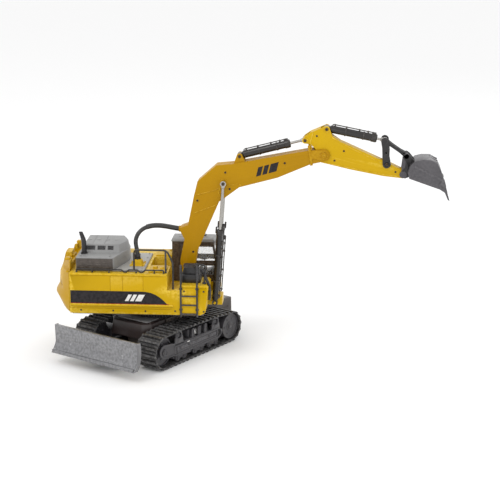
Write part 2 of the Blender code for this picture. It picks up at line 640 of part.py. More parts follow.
    cut(hood, frustum([(HOOD_REAR + 8 * MM, -RIDGE_HALF - 4 * MM),
                       (HOOD_FRONT - 4 * MM, -RIDGE_HALF - 4 * MM),
                       (HOOD_FRONT - 4 * MM, RIDGE_HALF + 4 * MM), (HOOD_REAR + 8 * MM,
                                                                    RIDGE_HALF + 4 * MM)],
                      [(HOOD_REAR + 9 * MM, -RIDGE_HALF + 3 * MM),
                       (HOOD_FRONT - 4 * MM, -RIDGE_HALF + 3 * MM),
                       (HOOD_FRONT - 4 * MM, RIDGE_HALF - 3 * MM), (HOOD_REAR + 9 * MM,
                                                                    RIDGE_HALF - 3 * MM)],
                      (HOOD_TOP - 3 * MM, RIDGE_TOP - 2 * MM)))

    pipe = []
    for x, z, r in ((-109, 162.3, 4), (-109, 167, 3.4), (-109, 178, 3.2), (-109.8, 184, 3),
                    (-111.6, 190, 2.4), (-113.4, 196, 1.4)):
        centre = Vector((x, -40, z)) * MM
        pipe.append([tuple(centre + Vector((math.cos(t), math.sin(t), 0)) * r * MM)
                     for t in (2 * math.pi * k / 12 for k in range(12))])
    place("exhaust_pipe", loft(pipe), BLACK, "house")

    gx, gy, gz = GLAND
    gland = frustum([(gx - 9 * MM, gy - 9 * MM), (gx + 9 * MM, gy - 9 * MM), (gx + 9 * MM, gy + 9 * MM),
                     (gx - 9 * MM, gy + 9 * MM)],
                    [(gx - 6 * MM, gy - 6 * MM), (gx + 6 * MM, gy - 6 * MM), (gx + 6 * MM, gy + 6 * MM),
                     (gx - 6 * MM, gy + 6 * MM)],
                    (top + 2 * MM + GAP, gz))
    place("hose_gland", gland, YELLOW, "house")

    board = block((-100 * MM, -45 * MM), (-55 * MM, 10 * MM), (92 * MM, 93.6 * MM))
    obj = place("circuit_board", board, BOARD, "house")
    for x, y, h in ((-90, -45, 8), (-75, -30, 3), (-60, -10, 10), (-85, -5, 5)):
        join(obj, block(((x - 5) * MM, (x + 5) * MM), ((y - 5) * MM, (y + 5) * MM),
                        (93 * MM, (93 + h) * MM)))
    motor = upright([(13 * MM, DECK_LOW + DECK_THICK + GAP), (13 * MM, 118 * MM), (11 * MM, 120 * MM)],
                    (-30 * MM, 30 * MM), 20)
    place("slew_gearbox", motor, DARK, "house")


def mount_bracket():
    """The yellow bracket that carries the boom's foot pin and the lift cylinders' feet."""
    low = DECK_LOW + DECK_THICK + GAP
    base = block((30 * MM, 62 * MM), (-17 * MM, 17 * MM), (low, low + 5 * MM))
    obj = place("boom_mount", base, YELLOW, "house")
    nose = [(56 * MM, low), (DECK_BAY + GAP, low), (DECK_BAY + GAP, DECK_LOW),
            (LIFT_FOOT[0] + 11 * MM, DECK_LOW),
            (LIFT_FOOT[0] + 11 * MM, LIFT_FOOT[1] + 9 * MM), (56 * MM, LIFT_FOOT[1] + 12 * MM)]
    join(obj, side_prism(nose, -11.6 * MM, 11.6 * MM))
    ear = [(34 * MM, low), (64 * MM, low)] + arc(FOOT, 9 * MM, 0, 180, 8)
    for near, far in ((BOOM_HALF + 0.8 * MM, BOOM_HALF + 3.6 * MM),
                      (-BOOM_HALF - 3.6 * MM, -BOOM_HALF - 0.8 * MM)):
        join(obj, side_prism(ear, near, far))
    cut(obj, disc(FOOT, 3 * MM + PIN_CLEAR, -0.1, 0.1, 16))
    join(obj, disc(LIFT_FOOT, PIN_R, -LIFT_Y - 5.5 * MM, LIFT_Y + 5.5 * MM, 14))
    head, neck = BOOM_HALF + 5.6 * MM, BOOM_HALF + 3.9 * MM
    pin = turned([(4.5 * MM, -head), (4.5 * MM, -neck), (3 * MM, -neck), (3 * MM, neck), (4.5 * MM, neck),
                  (4.5 * MM, head)], FOOT, 16)
    place("boom_foot_pin", pin, STEEL, "house")


def cab():
    rake = CAB_RAKE
    profile = [(CAB_REAR, CAB_LOW), (CAB_FRONT, CAB_LOW), (CAB_FRONT, CAB_LOW + 20 * MM),
               (CAB_FRONT - rake, CAB_TOP), (CAB_REAR, CAB_TOP)]
    obj = place("cab_shell", side_prism(profile, CAB_NEAR, CAB_FAR), DARK, "house")
    inner = inset(profile, CAB_WALL)
    inner = [(x, z - 0.01 if z < CAB_LOW + 10 * MM else z) for x, z in inner]
    cut(obj, side_prism(inner, CAB_NEAR + CAB_WALL, CAB_FAR - CAB_WALL))
    upper = [(36 * MM, 135 * MM), (CAB_FRONT - 6 * MM, 135 * MM),
             (CAB_FRONT - 6 * MM - rake * 0.45, 158 * MM), (36 * MM, 158 * MM)]
    lower = [(42 * MM, 112 * MM), (CAB_FRONT - 6 * MM, 112 * MM), (CAB_FRONT - 6 * MM, 127 * MM),
             (42 * MM, 127 * MM)]
    for window in (upper, lower):
        cut(obj, side_prism(window, 0, 0.1))
    cut(obj, block((CAB_FRONT - 20 * MM, 0.12), (CAB_NEAR + 6 * MM, CAB_FAR - 6 * MM),
                   (CAB_LOW + 22 * MM, CAB_TOP - 9 * MM)))
    cut(obj, block((0, CAB_REAR + 10 * MM), (CAB_NEAR + 8 * MM, CAB_FAR - 8 * MM),
                   (CAB_LOW + 26 * MM, CAB_TOP - 10 * MM)))
    pane = inset(profile, CAB_WALL + GAP)
    obj = place("cab_glass", side_prism(pane, CAB_NEAR + CAB_WALL + GAP, CAB_FAR - CAB_WALL - GAP), CLEAR,
                "house")
    hollow = inset(profile, CAB_WALL + GAP + GLASS)
    hollow = [(x, z - 0.01 if z < CAB_LOW + 10 * MM else z) for x, z in hollow]
    cut(obj, side_prism(hollow, CAB_NEAR + CAB_WALL + GAP + GLASS, CAB_FAR - CAB_WALL - GAP - GLASS))
    top = CAB_TOP + GAP
    roof = frustum([(CAB_REAR - 2 * MM, CAB_NEAR - 1.5 * MM),
                    (CAB_FRONT - rake + 3 * MM, CAB_NEAR - 1.5 * MM),
                    (CAB_FRONT - rake + 3 * MM, CAB_FAR + 2 * MM), (CAB_REAR - 2 * MM, CAB_FAR + 2 * MM)],
                   [(CAB_REAR, CAB_NEAR + 1 * MM), (CAB_FRONT - rake, CAB_NEAR + 1 * MM),
                    (CAB_FRONT - rake, CAB_FAR - 10 * MM), (CAB_REAR, CAB_FAR - 10 * MM)], (top,
                                                                                          top + ROOF_THICK))
    obj = place("cab_roof", roof, GREY, "house")
    bevel(obj, 1.5 * MM)
    seat = [(36 * MM, CAB_LOW + 4 * MM), (62 * MM, CAB_LOW + 4 * MM), (62 * MM, CAB_LOW + 13 * MM),
            (45 * MM, CAB_LOW + 13 * MM),
            (40 * MM, CAB_LOW + 38 * MM), (34 * MM, CAB_LOW + 38 * MM)]
    bevel(place("driver_seat", side_prism(seat, 38 * MM, 58 * MM), BLACK, "house"), 1.5 * MM)


def rails():
    y = (RAIL_Y - RAIL_THICK / 2, RAIL_Y + RAIL_THICK / 2)
    foot = HOUSE_TOP + GAP
    rail = block((-117 * MM, 20 * MM), y, (RAIL_TOP - 1.6 * MM, RAIL_TOP))
    obj = place("side_rail", rail, BLACK, "house")
    for x in (-116, -92, -60, -28, -1, 18):
        join(obj, block(((x - 1) * MM, (x + 1) * MM), y, (foot, RAIL_TOP - 1 * MM)))
    y = (y[0] + 3.5 * MM, y[1] + 3.5 * MM)
    path = [(-24, 141), (-24, 172), (-20, 176), (18, 176), (24, 173), (32, 156), (32, 116)]
    thick = 1 * MM
    line = [Vector((x * MM, z * MM)) for x, z in path]
    line[0].y = foot
    line[-1].y = WALKWAY_TOP + GAP
    left, right = [], []
    for i, point in enumerate(line):
        ways = [(b - a).normalized() for a, b in zip(line[max(i - 1, 0):i + 1], line[max(i, 1):i + 2])]
        way = sum(ways, Vector((0, 0))).normalized()
        side = Vector((-way.y, way.x)) * thick / max(way.dot(ways[0]), 0.5)
        left.append(tuple(point + side))
        right.append(tuple(point - side))
    obj = place("upper_rail", side_prism(left + right[::-1], *y), BLACK, "house")
    join(obj, block((20 * MM, 22 * MM), y, (foot, 175 * MM)))

    depth = (-HOUSE_HALF - GAP - 2.4 * MM, -HOUSE_HALF - GAP)
    half = STILE / 2
    stile = block((LADDER_X[0] - half, LADDER_X[0] + half), depth, (LADDER_LOW, LADDER_TOP))
    obj = place("ladder", stile, BLACK, "house")
    join(obj, block((LADDER_X[1] - half, LADDER_X[1] + half), depth, (LADDER_LOW, LADDER_TOP)))
    count = int((BOX_TOP - LADDER_LOW) / RUNG_PITCH)
    levels = [LADDER_LOW + FIRST_RUNG + RUNG_PITCH * i for i in range(count)] + [LADDER_TOP - 2 * MM]
    for z in levels:
        join(obj, block((LADDER_X[0], LADDER_X[1]), depth, (z - 0.8 * MM, z + 0.8 * MM)))


# ---------------------------------------------------------------- boom
def shell_half(name, outline, half, sign, owner, openings, mat):
    """One half of a box-section boom: a side wall with a rim, split on the middle plane."""
    low, high = sorted((sign * GAP / 2, sign * half))
    obj = place(name, side_prism(outline, low, high), mat, owner)
    low, high = sorted((-sign * 0.01, sign * (half - SHELL_WALL)))
    for hollow in [inset(outline, SHELL_WALL)] + openings:
        cut(obj, side_prism(hollow, low, high))
    return obj


def boom_outline():
    foot = arc(FOOT, FOOT_R, -150, 10, 8)
    front = [(64.5, 161), (99, 241), (109, 248), (130, 264), (189, 280), (240, 302)]
    end = arc(ARM_PIN, ARM_LUG_R, -75, 110, 8)
    back = [(236, 323), (120, 300.5), (94.7, 298), (65.4, 272), (60, 250.5), (50, 202.5), (37.8, 197.8),
            (38.8, 191), (44.2, 180), (37.5, 146)]
    return foot + [(x * MM, z * MM) for x, z in front] + end + [(x * MM, z * MM) for x, z in back]


def boom():
    body("boom", "house", at(FOOT))
    outline = boom_outline()
    px, pz = ARM_PIN
    slot = [(px - 16 * MM, pz - 22 * MM), (px + 20 * MM, pz - 22 * MM), (px + 20 * MM, pz + 16 * MM),
            (px - 16 * MM, pz + 16 * MM)]
    for side, sign in (("left", 1), ("right", -1)):
        obj = shell_half("boom_shell_" + side, outline, BOOM_HALF, sign, "boom", [slot], BOOM_YELLOW)
        cx, cz = ARM_FOOT
        lug = [(cx - 10 * MM, cz - 14 * MM), (cx + 10 * MM, cz - 11 * MM)] + arc(ARM_FOOT, 4.5 * MM, 10,
                                                                                 170, 6)
        near, far = sorted((sign * 6.4 * MM, sign * 9 * MM))
        join(obj, side_prism(lug, near, far))
        near, far = sorted((sign * (BOOM_HALF - 1 * MM), sign * (LIFT_Y + 4 * MM)))
        join(obj, disc(LIFT_EYE, PIN_R, near, far, 14))
        near, far = sorted((sign * 5 * MM, sign * 7 * MM))
        join(obj, disc(ARM_FOOT, PIN_R, near, far, 12))
        cut(obj, disc(FOOT, 3 * MM + PIN_CLEAR, -0.1, 0.1, 16))
        cut(obj, disc(ARM_PIN, 2.6 * MM + PIN_CLEAR, -0.1, 0.1, 16))
    head = BOOM_HALF + 2.4 * MM
    pin = turned([(5 * MM, -head), (5 * MM, -BOOM_HALF - GAP), (2.6 * MM, -BOOM_HALF - GAP),
                  (2.6 * MM, BOOM_HALF + GAP), (5 * MM, BOOM_HALF + GAP), (5 * MM, head)], ARM_PIN, 18)
    place("arm_pin", pin, DARK, "boom")


def arm_outline():
    px, pz = ARM_PIN
    rear = [(px - 9 * MM, pz + 2 * MM), (px - 9 * MM, pz - 8 * MM), (px - 4 * MM, pz - 11.5 * MM)]
    under = [(301, 294), (351, 284.5)]
    tip = arc(BUCKET_PIN, BUCKET_LUG_R, -95, 80, 6)
    top = [(366, 301), (346, 310), (285, 337), (272, 346)]
    peak = arc(DIG_FOOT, 4.8 * MM, 10, 130, 5)
    back = [(240, 351), (230, 344)]
    horn = arc(HORN, 4.6 * MM, 170, 280, 4)
    return rear + [(x * MM, z * MM) for x, z in under] + tip + [(x * MM, z * MM) for x, z in top] + peak + \
        [(x * MM, z * MM) for x, z in back] + horn + [(240 * MM, 332 * MM), (246 * MM, 326 * MM)]


def arm():
    body("arm", "boom", at(ARM_PIN))
    outline = arm_outline()
    hx, hz = HORN
    dx, dz = DIG_FOOT
    horn_slot = [(hx - 12 * MM, hz - 9 * MM), (hx + 9 * MM, hz - 9 * MM), (hx + 9 * MM, hz + 12 * MM),
                 (hx - 12 * MM, hz + 14 * MM)]
    peak_slot = [(dx - 9 * MM, dz - 8 * MM), (dx + 14 * MM, dz - 12 * MM), (dx + 14 * MM, dz + 8 * MM),
                 (dx - 9 * MM, dz + 8 * MM)]
    for side, sign in (("left", 1), ("right", -1)):
        obj = shell_half("arm_shell_" + side, outline, ARM_HALF, sign, "arm", [horn_slot, peak_slot],
                         YELLOW)
        for centre in (HORN, DIG_FOOT):
            near, far = sorted((sign * 5.2 * MM, sign * (ARM_HALF - 1 * MM)))
            join(obj, disc(centre, PIN_R, near, far, 12))
        near, far = sorted((sign * (ARM_HALF - 1 * MM), sign * (EAR_IN + EAR_THICK + 1 * MM)))
        join(obj, disc(ROCKER_PIN, PIN_R, near, far, 12))
        cut(obj, disc(ARM_PIN, 2.6 * MM + PIN_CLEAR, -0.1, 0.1, 16))
        cut(obj, disc(BUCKET_PIN, PIN_R + PIN_CLEAR, -0.1, 0.1, 14))
    head = EAR_IN + EAR_THICK + 1.6 * MM
    gap = EAR_IN + EAR_THICK + GAP
    pin = turned([(3.2 * MM, -head), (3.2 * MM, -gap), (PIN_R, -gap), (PIN_R, gap), (3.2 * MM, gap),
                  (3.2 * MM, head)], BUCKET_PIN, 14)
    place("bucket_pin", pin, DARK, "arm")


def bucket():
    body("bucket", "arm", at(BUCKET_PIN))
    outline = [(390, 284), (387.5, 293), (391, 304), (399, 311), (409, 313.5), (422, 313.5), (432, 308),
               (438, 296), (444.5, 276), (448, 264)]
    outline = [(x * MM, z * MM) for x, z in outline]
    half = BUCKET_WIDTH / 2
    obj = place("bucket", side_prism(outline, -half, half), GREY, "bucket")
    hollow = inset(outline, BUCKET_SKIN)
    hollow[0] = (hollow[0][0] - 4 * MM, hollow[0][1] - 8 * MM)
    hollow[-1] = (hollow[-1][0] + 1 * MM, hollow[-1][1] - 8 * MM)
    cut(obj, side_prism(hollow, -half + BUCKET_SKIN, half - BUCKET_SKIN))
    tooth = [(445, 274), (447.5, 264), (452, 250), (449, 252), (443, 266)]
    for i in range(5):
        y = (i - 2) * (BUCKET_WIDTH - 7 * MM) / 4
        join(obj, side_prism([(x * MM, z * MM) for x, z in tooth], y - 2.6 * MM, y + 2.6 * MM))
    kx, kz = BUCKET_PIN
    ear = arc(BUCKET_PIN, 5.4 * MM, 120, 275, 6) + [(395 * MM, 286 * MM),
                                                    (396 * MM, 309 * MM)] + arc(LINK_PIN, 4.6 * MM, 30, 165,
                                                                                5)
    for near, far in ((EAR_IN, EAR_IN + EAR_THICK), (-EAR_IN - EAR_THICK, -EAR_IN)):
        join(obj, side_prism(ear, near, far))
    cut(obj, disc(BUCKET_PIN, PIN_R + PIN_CLEAR, -0.1, 0.1, 14))
    cut(obj, block((kx - 12 * MM, kx + 8 * MM), (-EAR_IN, EAR_IN), (kz - 8 * MM, kz + 8 * MM)))


# ---------------------------------------------------------------- cylinders and links
def along(base, tip):
    """Turns shapes built along +X from the origin so that they run from base to tip."""
    way = Vector(tip) - Vector(base)
    return math.atan2(way.y, way.x)


def laid(bm, base, angle, y):
    for v in bm.verts:
        x, z = v.co.x, v.co.z
        v.co.x = base[0] + x * math.cos(angle) - z * math.sin(angle)
        v.co.z = base[1] + x * math.sin(angle) + z * math.cos(angle)
        v.co.y += y
    return bm


def tube_x(profile, steps=16):
    """A profile of (x, radius) points turned about the X axis."""
    rings = []
    for x, radius in profile:
        rings.append([(x, radius * math.cos(t),
                       radius * math.sin(t)) for t in (2 * math.pi * k / steps for k in range(steps))])
    return loft(rings)


def barrel(name, base, tip, y, length, outer, bore, eye_half, owner, parent):
    body(owner, parent, at(base, y))
    angle = along(base, tip)
    neck = EYE_R * 0.75
    shape = tube_x([(neck, EYE_R * 0.8), (neck + 3 * MM, outer), (length, outer), (length, bore),
                    (neck + 7 * MM, bore)])
    obj = place(name, laid(shape, base, angle, y), BLACK, owner)
    join(obj, disc(base, EYE_R, y - eye_half, y + eye_half, 16))
    cut(obj, disc(base, PIN_R + PIN_CLEAR, y - 0.02, y + 0.02, 14))


def rod(name, base, tip, y, inside, radius, owner, parent):
    """A rod with its eye on tip, reaching back towards base."""
    body(owner, parent, at(tip, y))
    angle = along(tip, base)
    obj = place(name, laid(tube_x([(EYE_R * 0.7, radius), (inside, radius)], 14), tip, angle, y), STEEL,
                owner)
    join(obj, disc(tip, EYE_R, y - ROD_EYE, y + ROD_EYE, 16))
    cut(obj, disc(tip, PIN_R + PIN_CLEAR, y - 0.02, y + 0.02, 14))


def cylinders():
    for side, sign in (("left", 1), ("right", -1)):
        y = sign * LIFT_Y
        barrel("boom_cylinder_" + side, LIFT_FOOT, LIFT_EYE, y, LIFT_BARREL, LIFT_R, LIFT_BORE, 3 * MM,
               "boom_cylinder_" + side, "house")
        rod("boom_rod_" + side, LIFT_FOOT, LIFT_EYE, y, LIFT_STROKE, LIFT_ROD, "boom_rod_" + side, "boom")
    barrel("arm_cylinder", ARM_FOOT, HORN, 0, ARM_BARREL, ARM_CYL_R, ARM_BORE, 4.6 * MM, "arm_cylinder",
           "boom")
    rod("arm_rod", ARM_FOOT, HORN, 0, ARM_STROKE, ROD_R, "arm_rod", "arm")
    barrel("bucket_cylinder", DIG_FOOT, ROCKER_TOP, 0, DIG_BARREL, DIG_R, DIG_BORE, 4.6 * MM,
           "bucket_cylinder", "arm")


def linkage():
    body("rocker", "arm", at(ROCKER_PIN))
    (rx, rz), (tx, tz) = ROCKER_PIN, ROCKER_TOP
    lean = math.degrees(math.atan2(tz - rz, tx - rx))
    plate = arc(ROCKER_PIN, ROCKER_R, lean + 90, lean + 270, 6) + arc(ROCKER_TOP, ROCKER_R, lean - 90,
                                                                      lean + 90, 6)
    obj = place("rocker", side_prism(plate, EAR_IN, EAR_IN + EAR_THICK), BLACK, "rocker")
    join(obj, side_prism(plate, -EAR_IN - EAR_THICK, -EAR_IN))
    join(obj, disc(ROCKER_TOP, PIN_R, -EAR_IN - 1 * MM, EAR_IN + 1 * MM, 14))
    cut(obj, disc(ROCKER_PIN, PIN_R + PIN_CLEAR, -0.05, 0.05, 14))
    rod("bucket_rod", DIG_FOOT, ROCKER_TOP, 0, DIG_STROKE, ROD_R, "bucket_rod", "rocker")
    body("push_link", "rocker", at(ROCKER_TOP))
    lean = math.degrees(along(ROCKER_TOP, LINK_PIN))
    side = arc(ROCKER_TOP, 3.8 * MM, lean + 90, lean + 270, 6) + arc(LINK_PIN, 3.8 * MM, lean - 90,
                                                                     lean + 90, 6)
    obj = place("push_link", side_prism(side, 3.6 * MM, 6 * MM), BLACK, "push_link")
    join(obj, side_prism(side, -6 * MM, -3.6 * MM))
    join(obj, disc(LINK_PIN, 3.2 * MM, -ARM_HALF, ARM_HALF, 14))
    cut(obj, disc(ROCKER_TOP, PIN_R + PIN_CLEAR, -0.05, 0.05, 14))


# ---------------------------------------------------------------- hose
def hose():
    """The hydraulic hose in one smooth line from the gland to the boom's back bracket."""
    gx, gy, gz = GLAND
    route = [(gx, gy, gz + GAP), (gx, gy, gz + 8 * MM), (gx - 2.4 * MM, gy, gz + 22 * MM),
             (gx - 2 * MM, gy + 0.5 * MM, gz + 33 * MM),
             (gx + 3 * MM, gy + 3 * MM, gz + 42.5 * MM), (gx + 14 * MM, gy + 9 * MM, gz + 49 * MM),
             (gx + 27 * MM, gy + 16 * MM, gz + 50 * MM), (gx + 47 * MM, gy + 25 * MM, gz + 45.5 * MM),
             (36.2 * MM, 0, 193.8 * MM)]
    points = [Vector(p) for p in route]
    fine = []
    for i in range(len(points) - 1):
        p0, p1, p2 = points[max(i - 1, 0)], points[i], points[i + 1]
        p3 = points[min(i + 2, len(points) - 1)]
        for k in range(3):
            t = k / 3
            fine.append(0.5 * ((2 * p1) + (p2 - p0) * t + (2 * p0 - 5 * p1 + 4 * p2 - p3) * t * t
                               + (3 * p1 - p0 - 3 * p2 + p3) * t ** 3))
    fine.append(points[-1])
    curve = bpy.data.curves.new("boom_hose", "CURVE")
    curve.dimensions = "3D"
    curve.bevel_depth = HOSE_R
    curve.bevel_resolution = 2
    curve.use_fill_caps = True
    spline = curve.splines.new("POLY")
    spline.points.add(len(fine) - 1)
    for point, co in zip(spline.points, fine):
        point.co = (*co, 1)
    curve.materials.append(BLACK)
    obj = bpy.data.objects.new("boom_hose", curve)
    bpy.context.collection.objects.link(obj)
    obj.parent = AXES["house"]
    obj.location = -PLACE["house"]


def rest_on_origin():
    """Puts the origin at the middle of the bounding box's bottom."""
    view = bpy.context.view_layer
    view.update()
    graph = bpy.context.evaluated_depsgraph_get()
    corners = []
    for obj in bpy.data.objects:
        if obj.type in {"MESH", "CURVE"} and not obj.hide_render:
            done = obj.evaluated_get(graph)
            mesh = done.to_mesh()
            corners += [done.matrix_world @ v.co for v in mesh.vertices]
            done.to_mesh_clear()
    low = [min(c[i] for c in corners) for i in range(3)]
    high = [max(c[i] for c in corners) for i in range(3)]
    ROOT.location = (-(low[0] + high[0]) / 2, -(low[1] + high[1]) / 2, -low[2])
    view.update()


undercarriage()
blade()
house()
mount_bracket()
cab()
rails()
boom()
arm()
bucket()
cylinders()
linkage()
hose()
rest_on_origin()
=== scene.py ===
import json
import math
import random

import bpy
from mathutils import Matrix, Vector

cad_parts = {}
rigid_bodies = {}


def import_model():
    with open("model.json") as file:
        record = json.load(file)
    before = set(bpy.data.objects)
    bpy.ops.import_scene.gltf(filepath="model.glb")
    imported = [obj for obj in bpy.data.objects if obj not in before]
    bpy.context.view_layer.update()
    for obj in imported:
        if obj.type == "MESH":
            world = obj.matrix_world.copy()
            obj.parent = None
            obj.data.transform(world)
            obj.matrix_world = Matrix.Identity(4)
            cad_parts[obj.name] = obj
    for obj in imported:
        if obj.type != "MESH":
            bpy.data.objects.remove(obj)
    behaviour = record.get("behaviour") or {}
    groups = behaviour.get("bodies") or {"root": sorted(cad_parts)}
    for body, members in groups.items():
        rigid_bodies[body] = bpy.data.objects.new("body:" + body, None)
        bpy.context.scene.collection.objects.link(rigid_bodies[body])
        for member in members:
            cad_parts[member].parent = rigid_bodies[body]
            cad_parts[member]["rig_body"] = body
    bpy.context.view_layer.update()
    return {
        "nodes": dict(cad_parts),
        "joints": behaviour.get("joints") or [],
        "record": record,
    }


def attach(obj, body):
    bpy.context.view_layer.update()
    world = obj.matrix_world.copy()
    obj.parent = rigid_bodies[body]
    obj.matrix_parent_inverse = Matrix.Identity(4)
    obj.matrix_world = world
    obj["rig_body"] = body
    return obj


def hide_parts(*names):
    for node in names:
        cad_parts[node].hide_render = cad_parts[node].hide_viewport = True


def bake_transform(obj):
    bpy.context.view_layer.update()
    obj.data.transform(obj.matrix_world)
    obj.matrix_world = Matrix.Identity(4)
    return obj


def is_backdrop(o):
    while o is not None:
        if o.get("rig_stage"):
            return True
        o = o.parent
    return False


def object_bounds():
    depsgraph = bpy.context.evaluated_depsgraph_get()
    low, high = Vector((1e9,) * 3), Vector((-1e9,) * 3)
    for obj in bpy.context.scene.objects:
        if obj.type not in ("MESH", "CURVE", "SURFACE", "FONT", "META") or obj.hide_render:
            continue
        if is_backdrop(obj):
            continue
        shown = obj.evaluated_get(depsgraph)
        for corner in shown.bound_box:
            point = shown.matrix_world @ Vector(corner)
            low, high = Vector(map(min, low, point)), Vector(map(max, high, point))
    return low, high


mm = 0.001
random.seed(7)
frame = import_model()
record = frame["record"]
joints = {j["name"]: j for j in frame["joints"]}
slotOf = {entry["node"]: entry["material_slot"] for entry in record["subparts"]}
print("frame loaded:", len(frame["nodes"]), "nodes")

# two working spaces, from the slew axis on the ground: house (boom along +X) and tracks
turntable = Vector(joints["house_slew"]["pos_m"])
trackLeft = Vector(joints["drive_left"]["axis"])
heading = math.atan2(-trackLeft.x, trackLeft.y)
houseSpace = Matrix.Translation((turntable.x, turntable.y, 0))
trackSpace = houseSpace @ Matrix.Rotation(heading, 4, "Z")
worldSpace = Matrix.Identity(4)


# working habits: every shape is drawn in millimetres in its working space
def nothing():
    if bpy.context.object and bpy.context.object.mode != "OBJECT":
        bpy.ops.object.mode_set(mode="OBJECT")
    bpy.ops.object.select_all(action="DESELECT")


def only(obj):
    nothing()
    obj.select_set(True)
    bpy.context.view_layer.objects.active = obj
    return obj


def edit(obj, mode="FACE"):
    only(obj)
    bpy.ops.object.mode_set(mode="EDIT")
    bpy.ops.mesh.select_mode(type=mode)
    bpy.ops.mesh.select_all(action="SELECT")


def done():
    bpy.ops.object.mode_set(mode="OBJECT")


def pick(obj, test):
    bpy.ops.mesh.select_all(action="DESELECT")
    bpy.ops.object.mode_set(mode="OBJECT")
    for face in obj.data.polygons:
        face.select = test(face)
    bpy.ops.object.mode_set(mode="EDIT")


def settled():
    bpy.ops.object.transform_apply(location=True, rotation=True, scale=True)
    return bpy.context.object


def boxAt(x, y, z):
    nothing()
    spans = (x, y, z)
    bpy.ops.mesh.primitive_cube_add(size=1, location=[(a + b) / 2 * mm for a, b in spans],
                                    scale=[(b - a) * mm for a, b in spans])
    return settled()


facing = {"x": (0, math.pi / 2, 0), "y": (-math.pi / 2, 0, 0), "z": (0, 0, 0)}
wayOf = {"x": (1, 0, 0), "y": (0, 1, 0), "z": (0, 0, 1)}


def roundAt(centre, radius, low, high, axis="y", sides=32):
    nothing()                      # centre holds the two places across the axis
    middle = (low + high) / 2
    spot = {"x": (middle, *centre), "y": (centre[0], middle, centre[1]), "z": (*centre, middle)}[axis]
    bpy.ops.mesh.primitive_cone_add(vertices=sides, radius1=radius * mm, radius2=radius * mm,
                                    depth=(high - low) * mm, location=[v * mm for v in spot],
                                    rotation=facing[axis], end_fill_type="NGON")
    return settled()


def stepEnd(obj, way, steps):
    way = Vector(way)              # (inset, push) in turn on the flat end facing way; a negative push sinks
    edit(obj)
    far = max(v.co.dot(way) for v in obj.data.vertices)
    pick(obj, lambda f: f.normal.dot(way) > 0.99 and f.center.dot(way) > far - 0.05 * mm)
    for thickness, push in steps:
        if thickness:
            bpy.ops.mesh.inset(thickness=thickness * mm, depth=0)
        if push:
            bpy.ops.mesh.extrude_region_move(TRANSFORM_OT_translate={"value": way * push * mm})
    done()
    return obj


def bothEnds(obj, axis, steps):
    way = Vector(wayOf[axis])
    return stepEnd(stepEnd(obj, way, steps), -way, steps)


def corner(point, depth, axis):
    a, b = point
    return Vector({"x": (depth, a, b), "y": (a, depth, b), "z": (a, b, depth)}[axis]) * mm


def wireAlong(points):
    nothing()                      # a chain of vertices through points, drawn one by one
    bpy.ops.mesh.primitive_plane_add(size=mm, location=points[0])
    obj = settled()
    edit(obj, "VERT")
    bpy.ops.mesh.merge(type="CENTER")
    for here, there in zip(points, points[1:]):
        bpy.ops.mesh.extrude_region_move(TRANSFORM_OT_translate={"value": there - here})
    bpy.ops.mesh.select_all(action="SELECT")
    return obj


def traced(outline, low, high, axis="y"):
    wireAlong([corner(p, low, axis) for p in outline])
    bpy.ops.mesh.edge_face_add()
    bpy.ops.mesh.select_mode(type="FACE")
    bpy.ops.mesh.select_all(action="SELECT")
    push = Vector(wayOf[axis]) * (high - low) * mm
    bpy.ops.mesh.extrude_region_move(TRANSFORM_OT_translate={"value": push})
    bpy.ops.mesh.select_all(action="SELECT")
    bpy.ops.mesh.normals_make_consistent(inside=False)
    done()
    return bpy.context.object


def pipe(points, radius, sides=2, smooth=0):
    wireAlong([Vector(p) * mm for p in points])
    done()
    if smooth:
        applied(bpy.context.object, "SUBSURF", levels=smooth, render_levels=smooth)
    bpy.ops.object.convert(target="CURVE")
    line = bpy.context.object.data
    line.bevel_depth = radius * mm
    line.bevel_resolution = sides
    line.use_fill_caps = True
    bpy.ops.object.convert(target="MESH")
    return cleaned(bpy.context.object)


def ring(centre, radius, tube, y=0.0, axis="y", sides=24):
    nothing()
    spot = {"x": (y, *centre), "y": (centre[0], y, centre[1]), "z": (*centre, y)}[axis]
    bpy.ops.mesh.primitive_torus_add(location=[v * mm for v in spot], rotation=facing[axis],
                                     major_segments=sides, minor_segments=8, major_radius=radius * mm,
                                     minor_radius=tube * mm)
    return settled()


def applied(obj, kind, **values):
    only(obj)
    step = obj.modifiers.new(kind.lower(), kind)
    for key, value in values.items():
        setattr(step, key, value)
    bpy.ops.object.modifier_apply(modifier=step.name)
    return obj


def rounded(obj, width, segments=2, angle=35):
    return applied(obj, "BEVEL", width=width * mm, segments=segments, limit_method="ANGLE",
                   angle_limit=math.radians(angle), use_clamp_overlap=True)


def cutBy(obj, *tools):
    for tool in tools:
        applied(obj, "BOOLEAN", operation="DIFFERENCE", solver="EXACT", object=tool)
        bpy.data.objects.remove(tool)
    return obj


def joined(*parts):
    parts = [p for group in parts for p in (group if isinstance(group, (list, tuple)) else [group])]
    only(parts[0])
    for part in parts:
        part.select_set(True)
    if len(parts) > 1:
        bpy.ops.object.join()
    return bpy.context.object


def copied(obj, matrix):
    other = obj.copy()
    other.data = obj.data.copy()
    bpy.context.collection.objects.link(other)
    other.data.transform(matrix)
    return other


def shift(x=0, y=0, z=0):
    return Matrix.Translation((x * mm, y * mm, z * mm))


def cleaned(obj):
    edit(obj)
    bpy.ops.mesh.remove_doubles(threshold=1e-6)
    bpy.ops.mesh.normals_make_consistent(inside=False)
    done()
    return obj


def sideSpan(side, inner, outer):
    return sorted((side * inner, side * outer))


def softBox(x, y, z, width, segments=2):
    return rounded(boxAt(x, y, z), width, segments)


def softTrace(outline, low, high, width, segments=2):
    return rounded(traced(outline, low, high), width, segments)


def studAt(centre, radius, low, high, steps, sides):
    return stepEnd(roundAt(centre, radius, low, high, "z", sides), (0, 0, 1), steps)


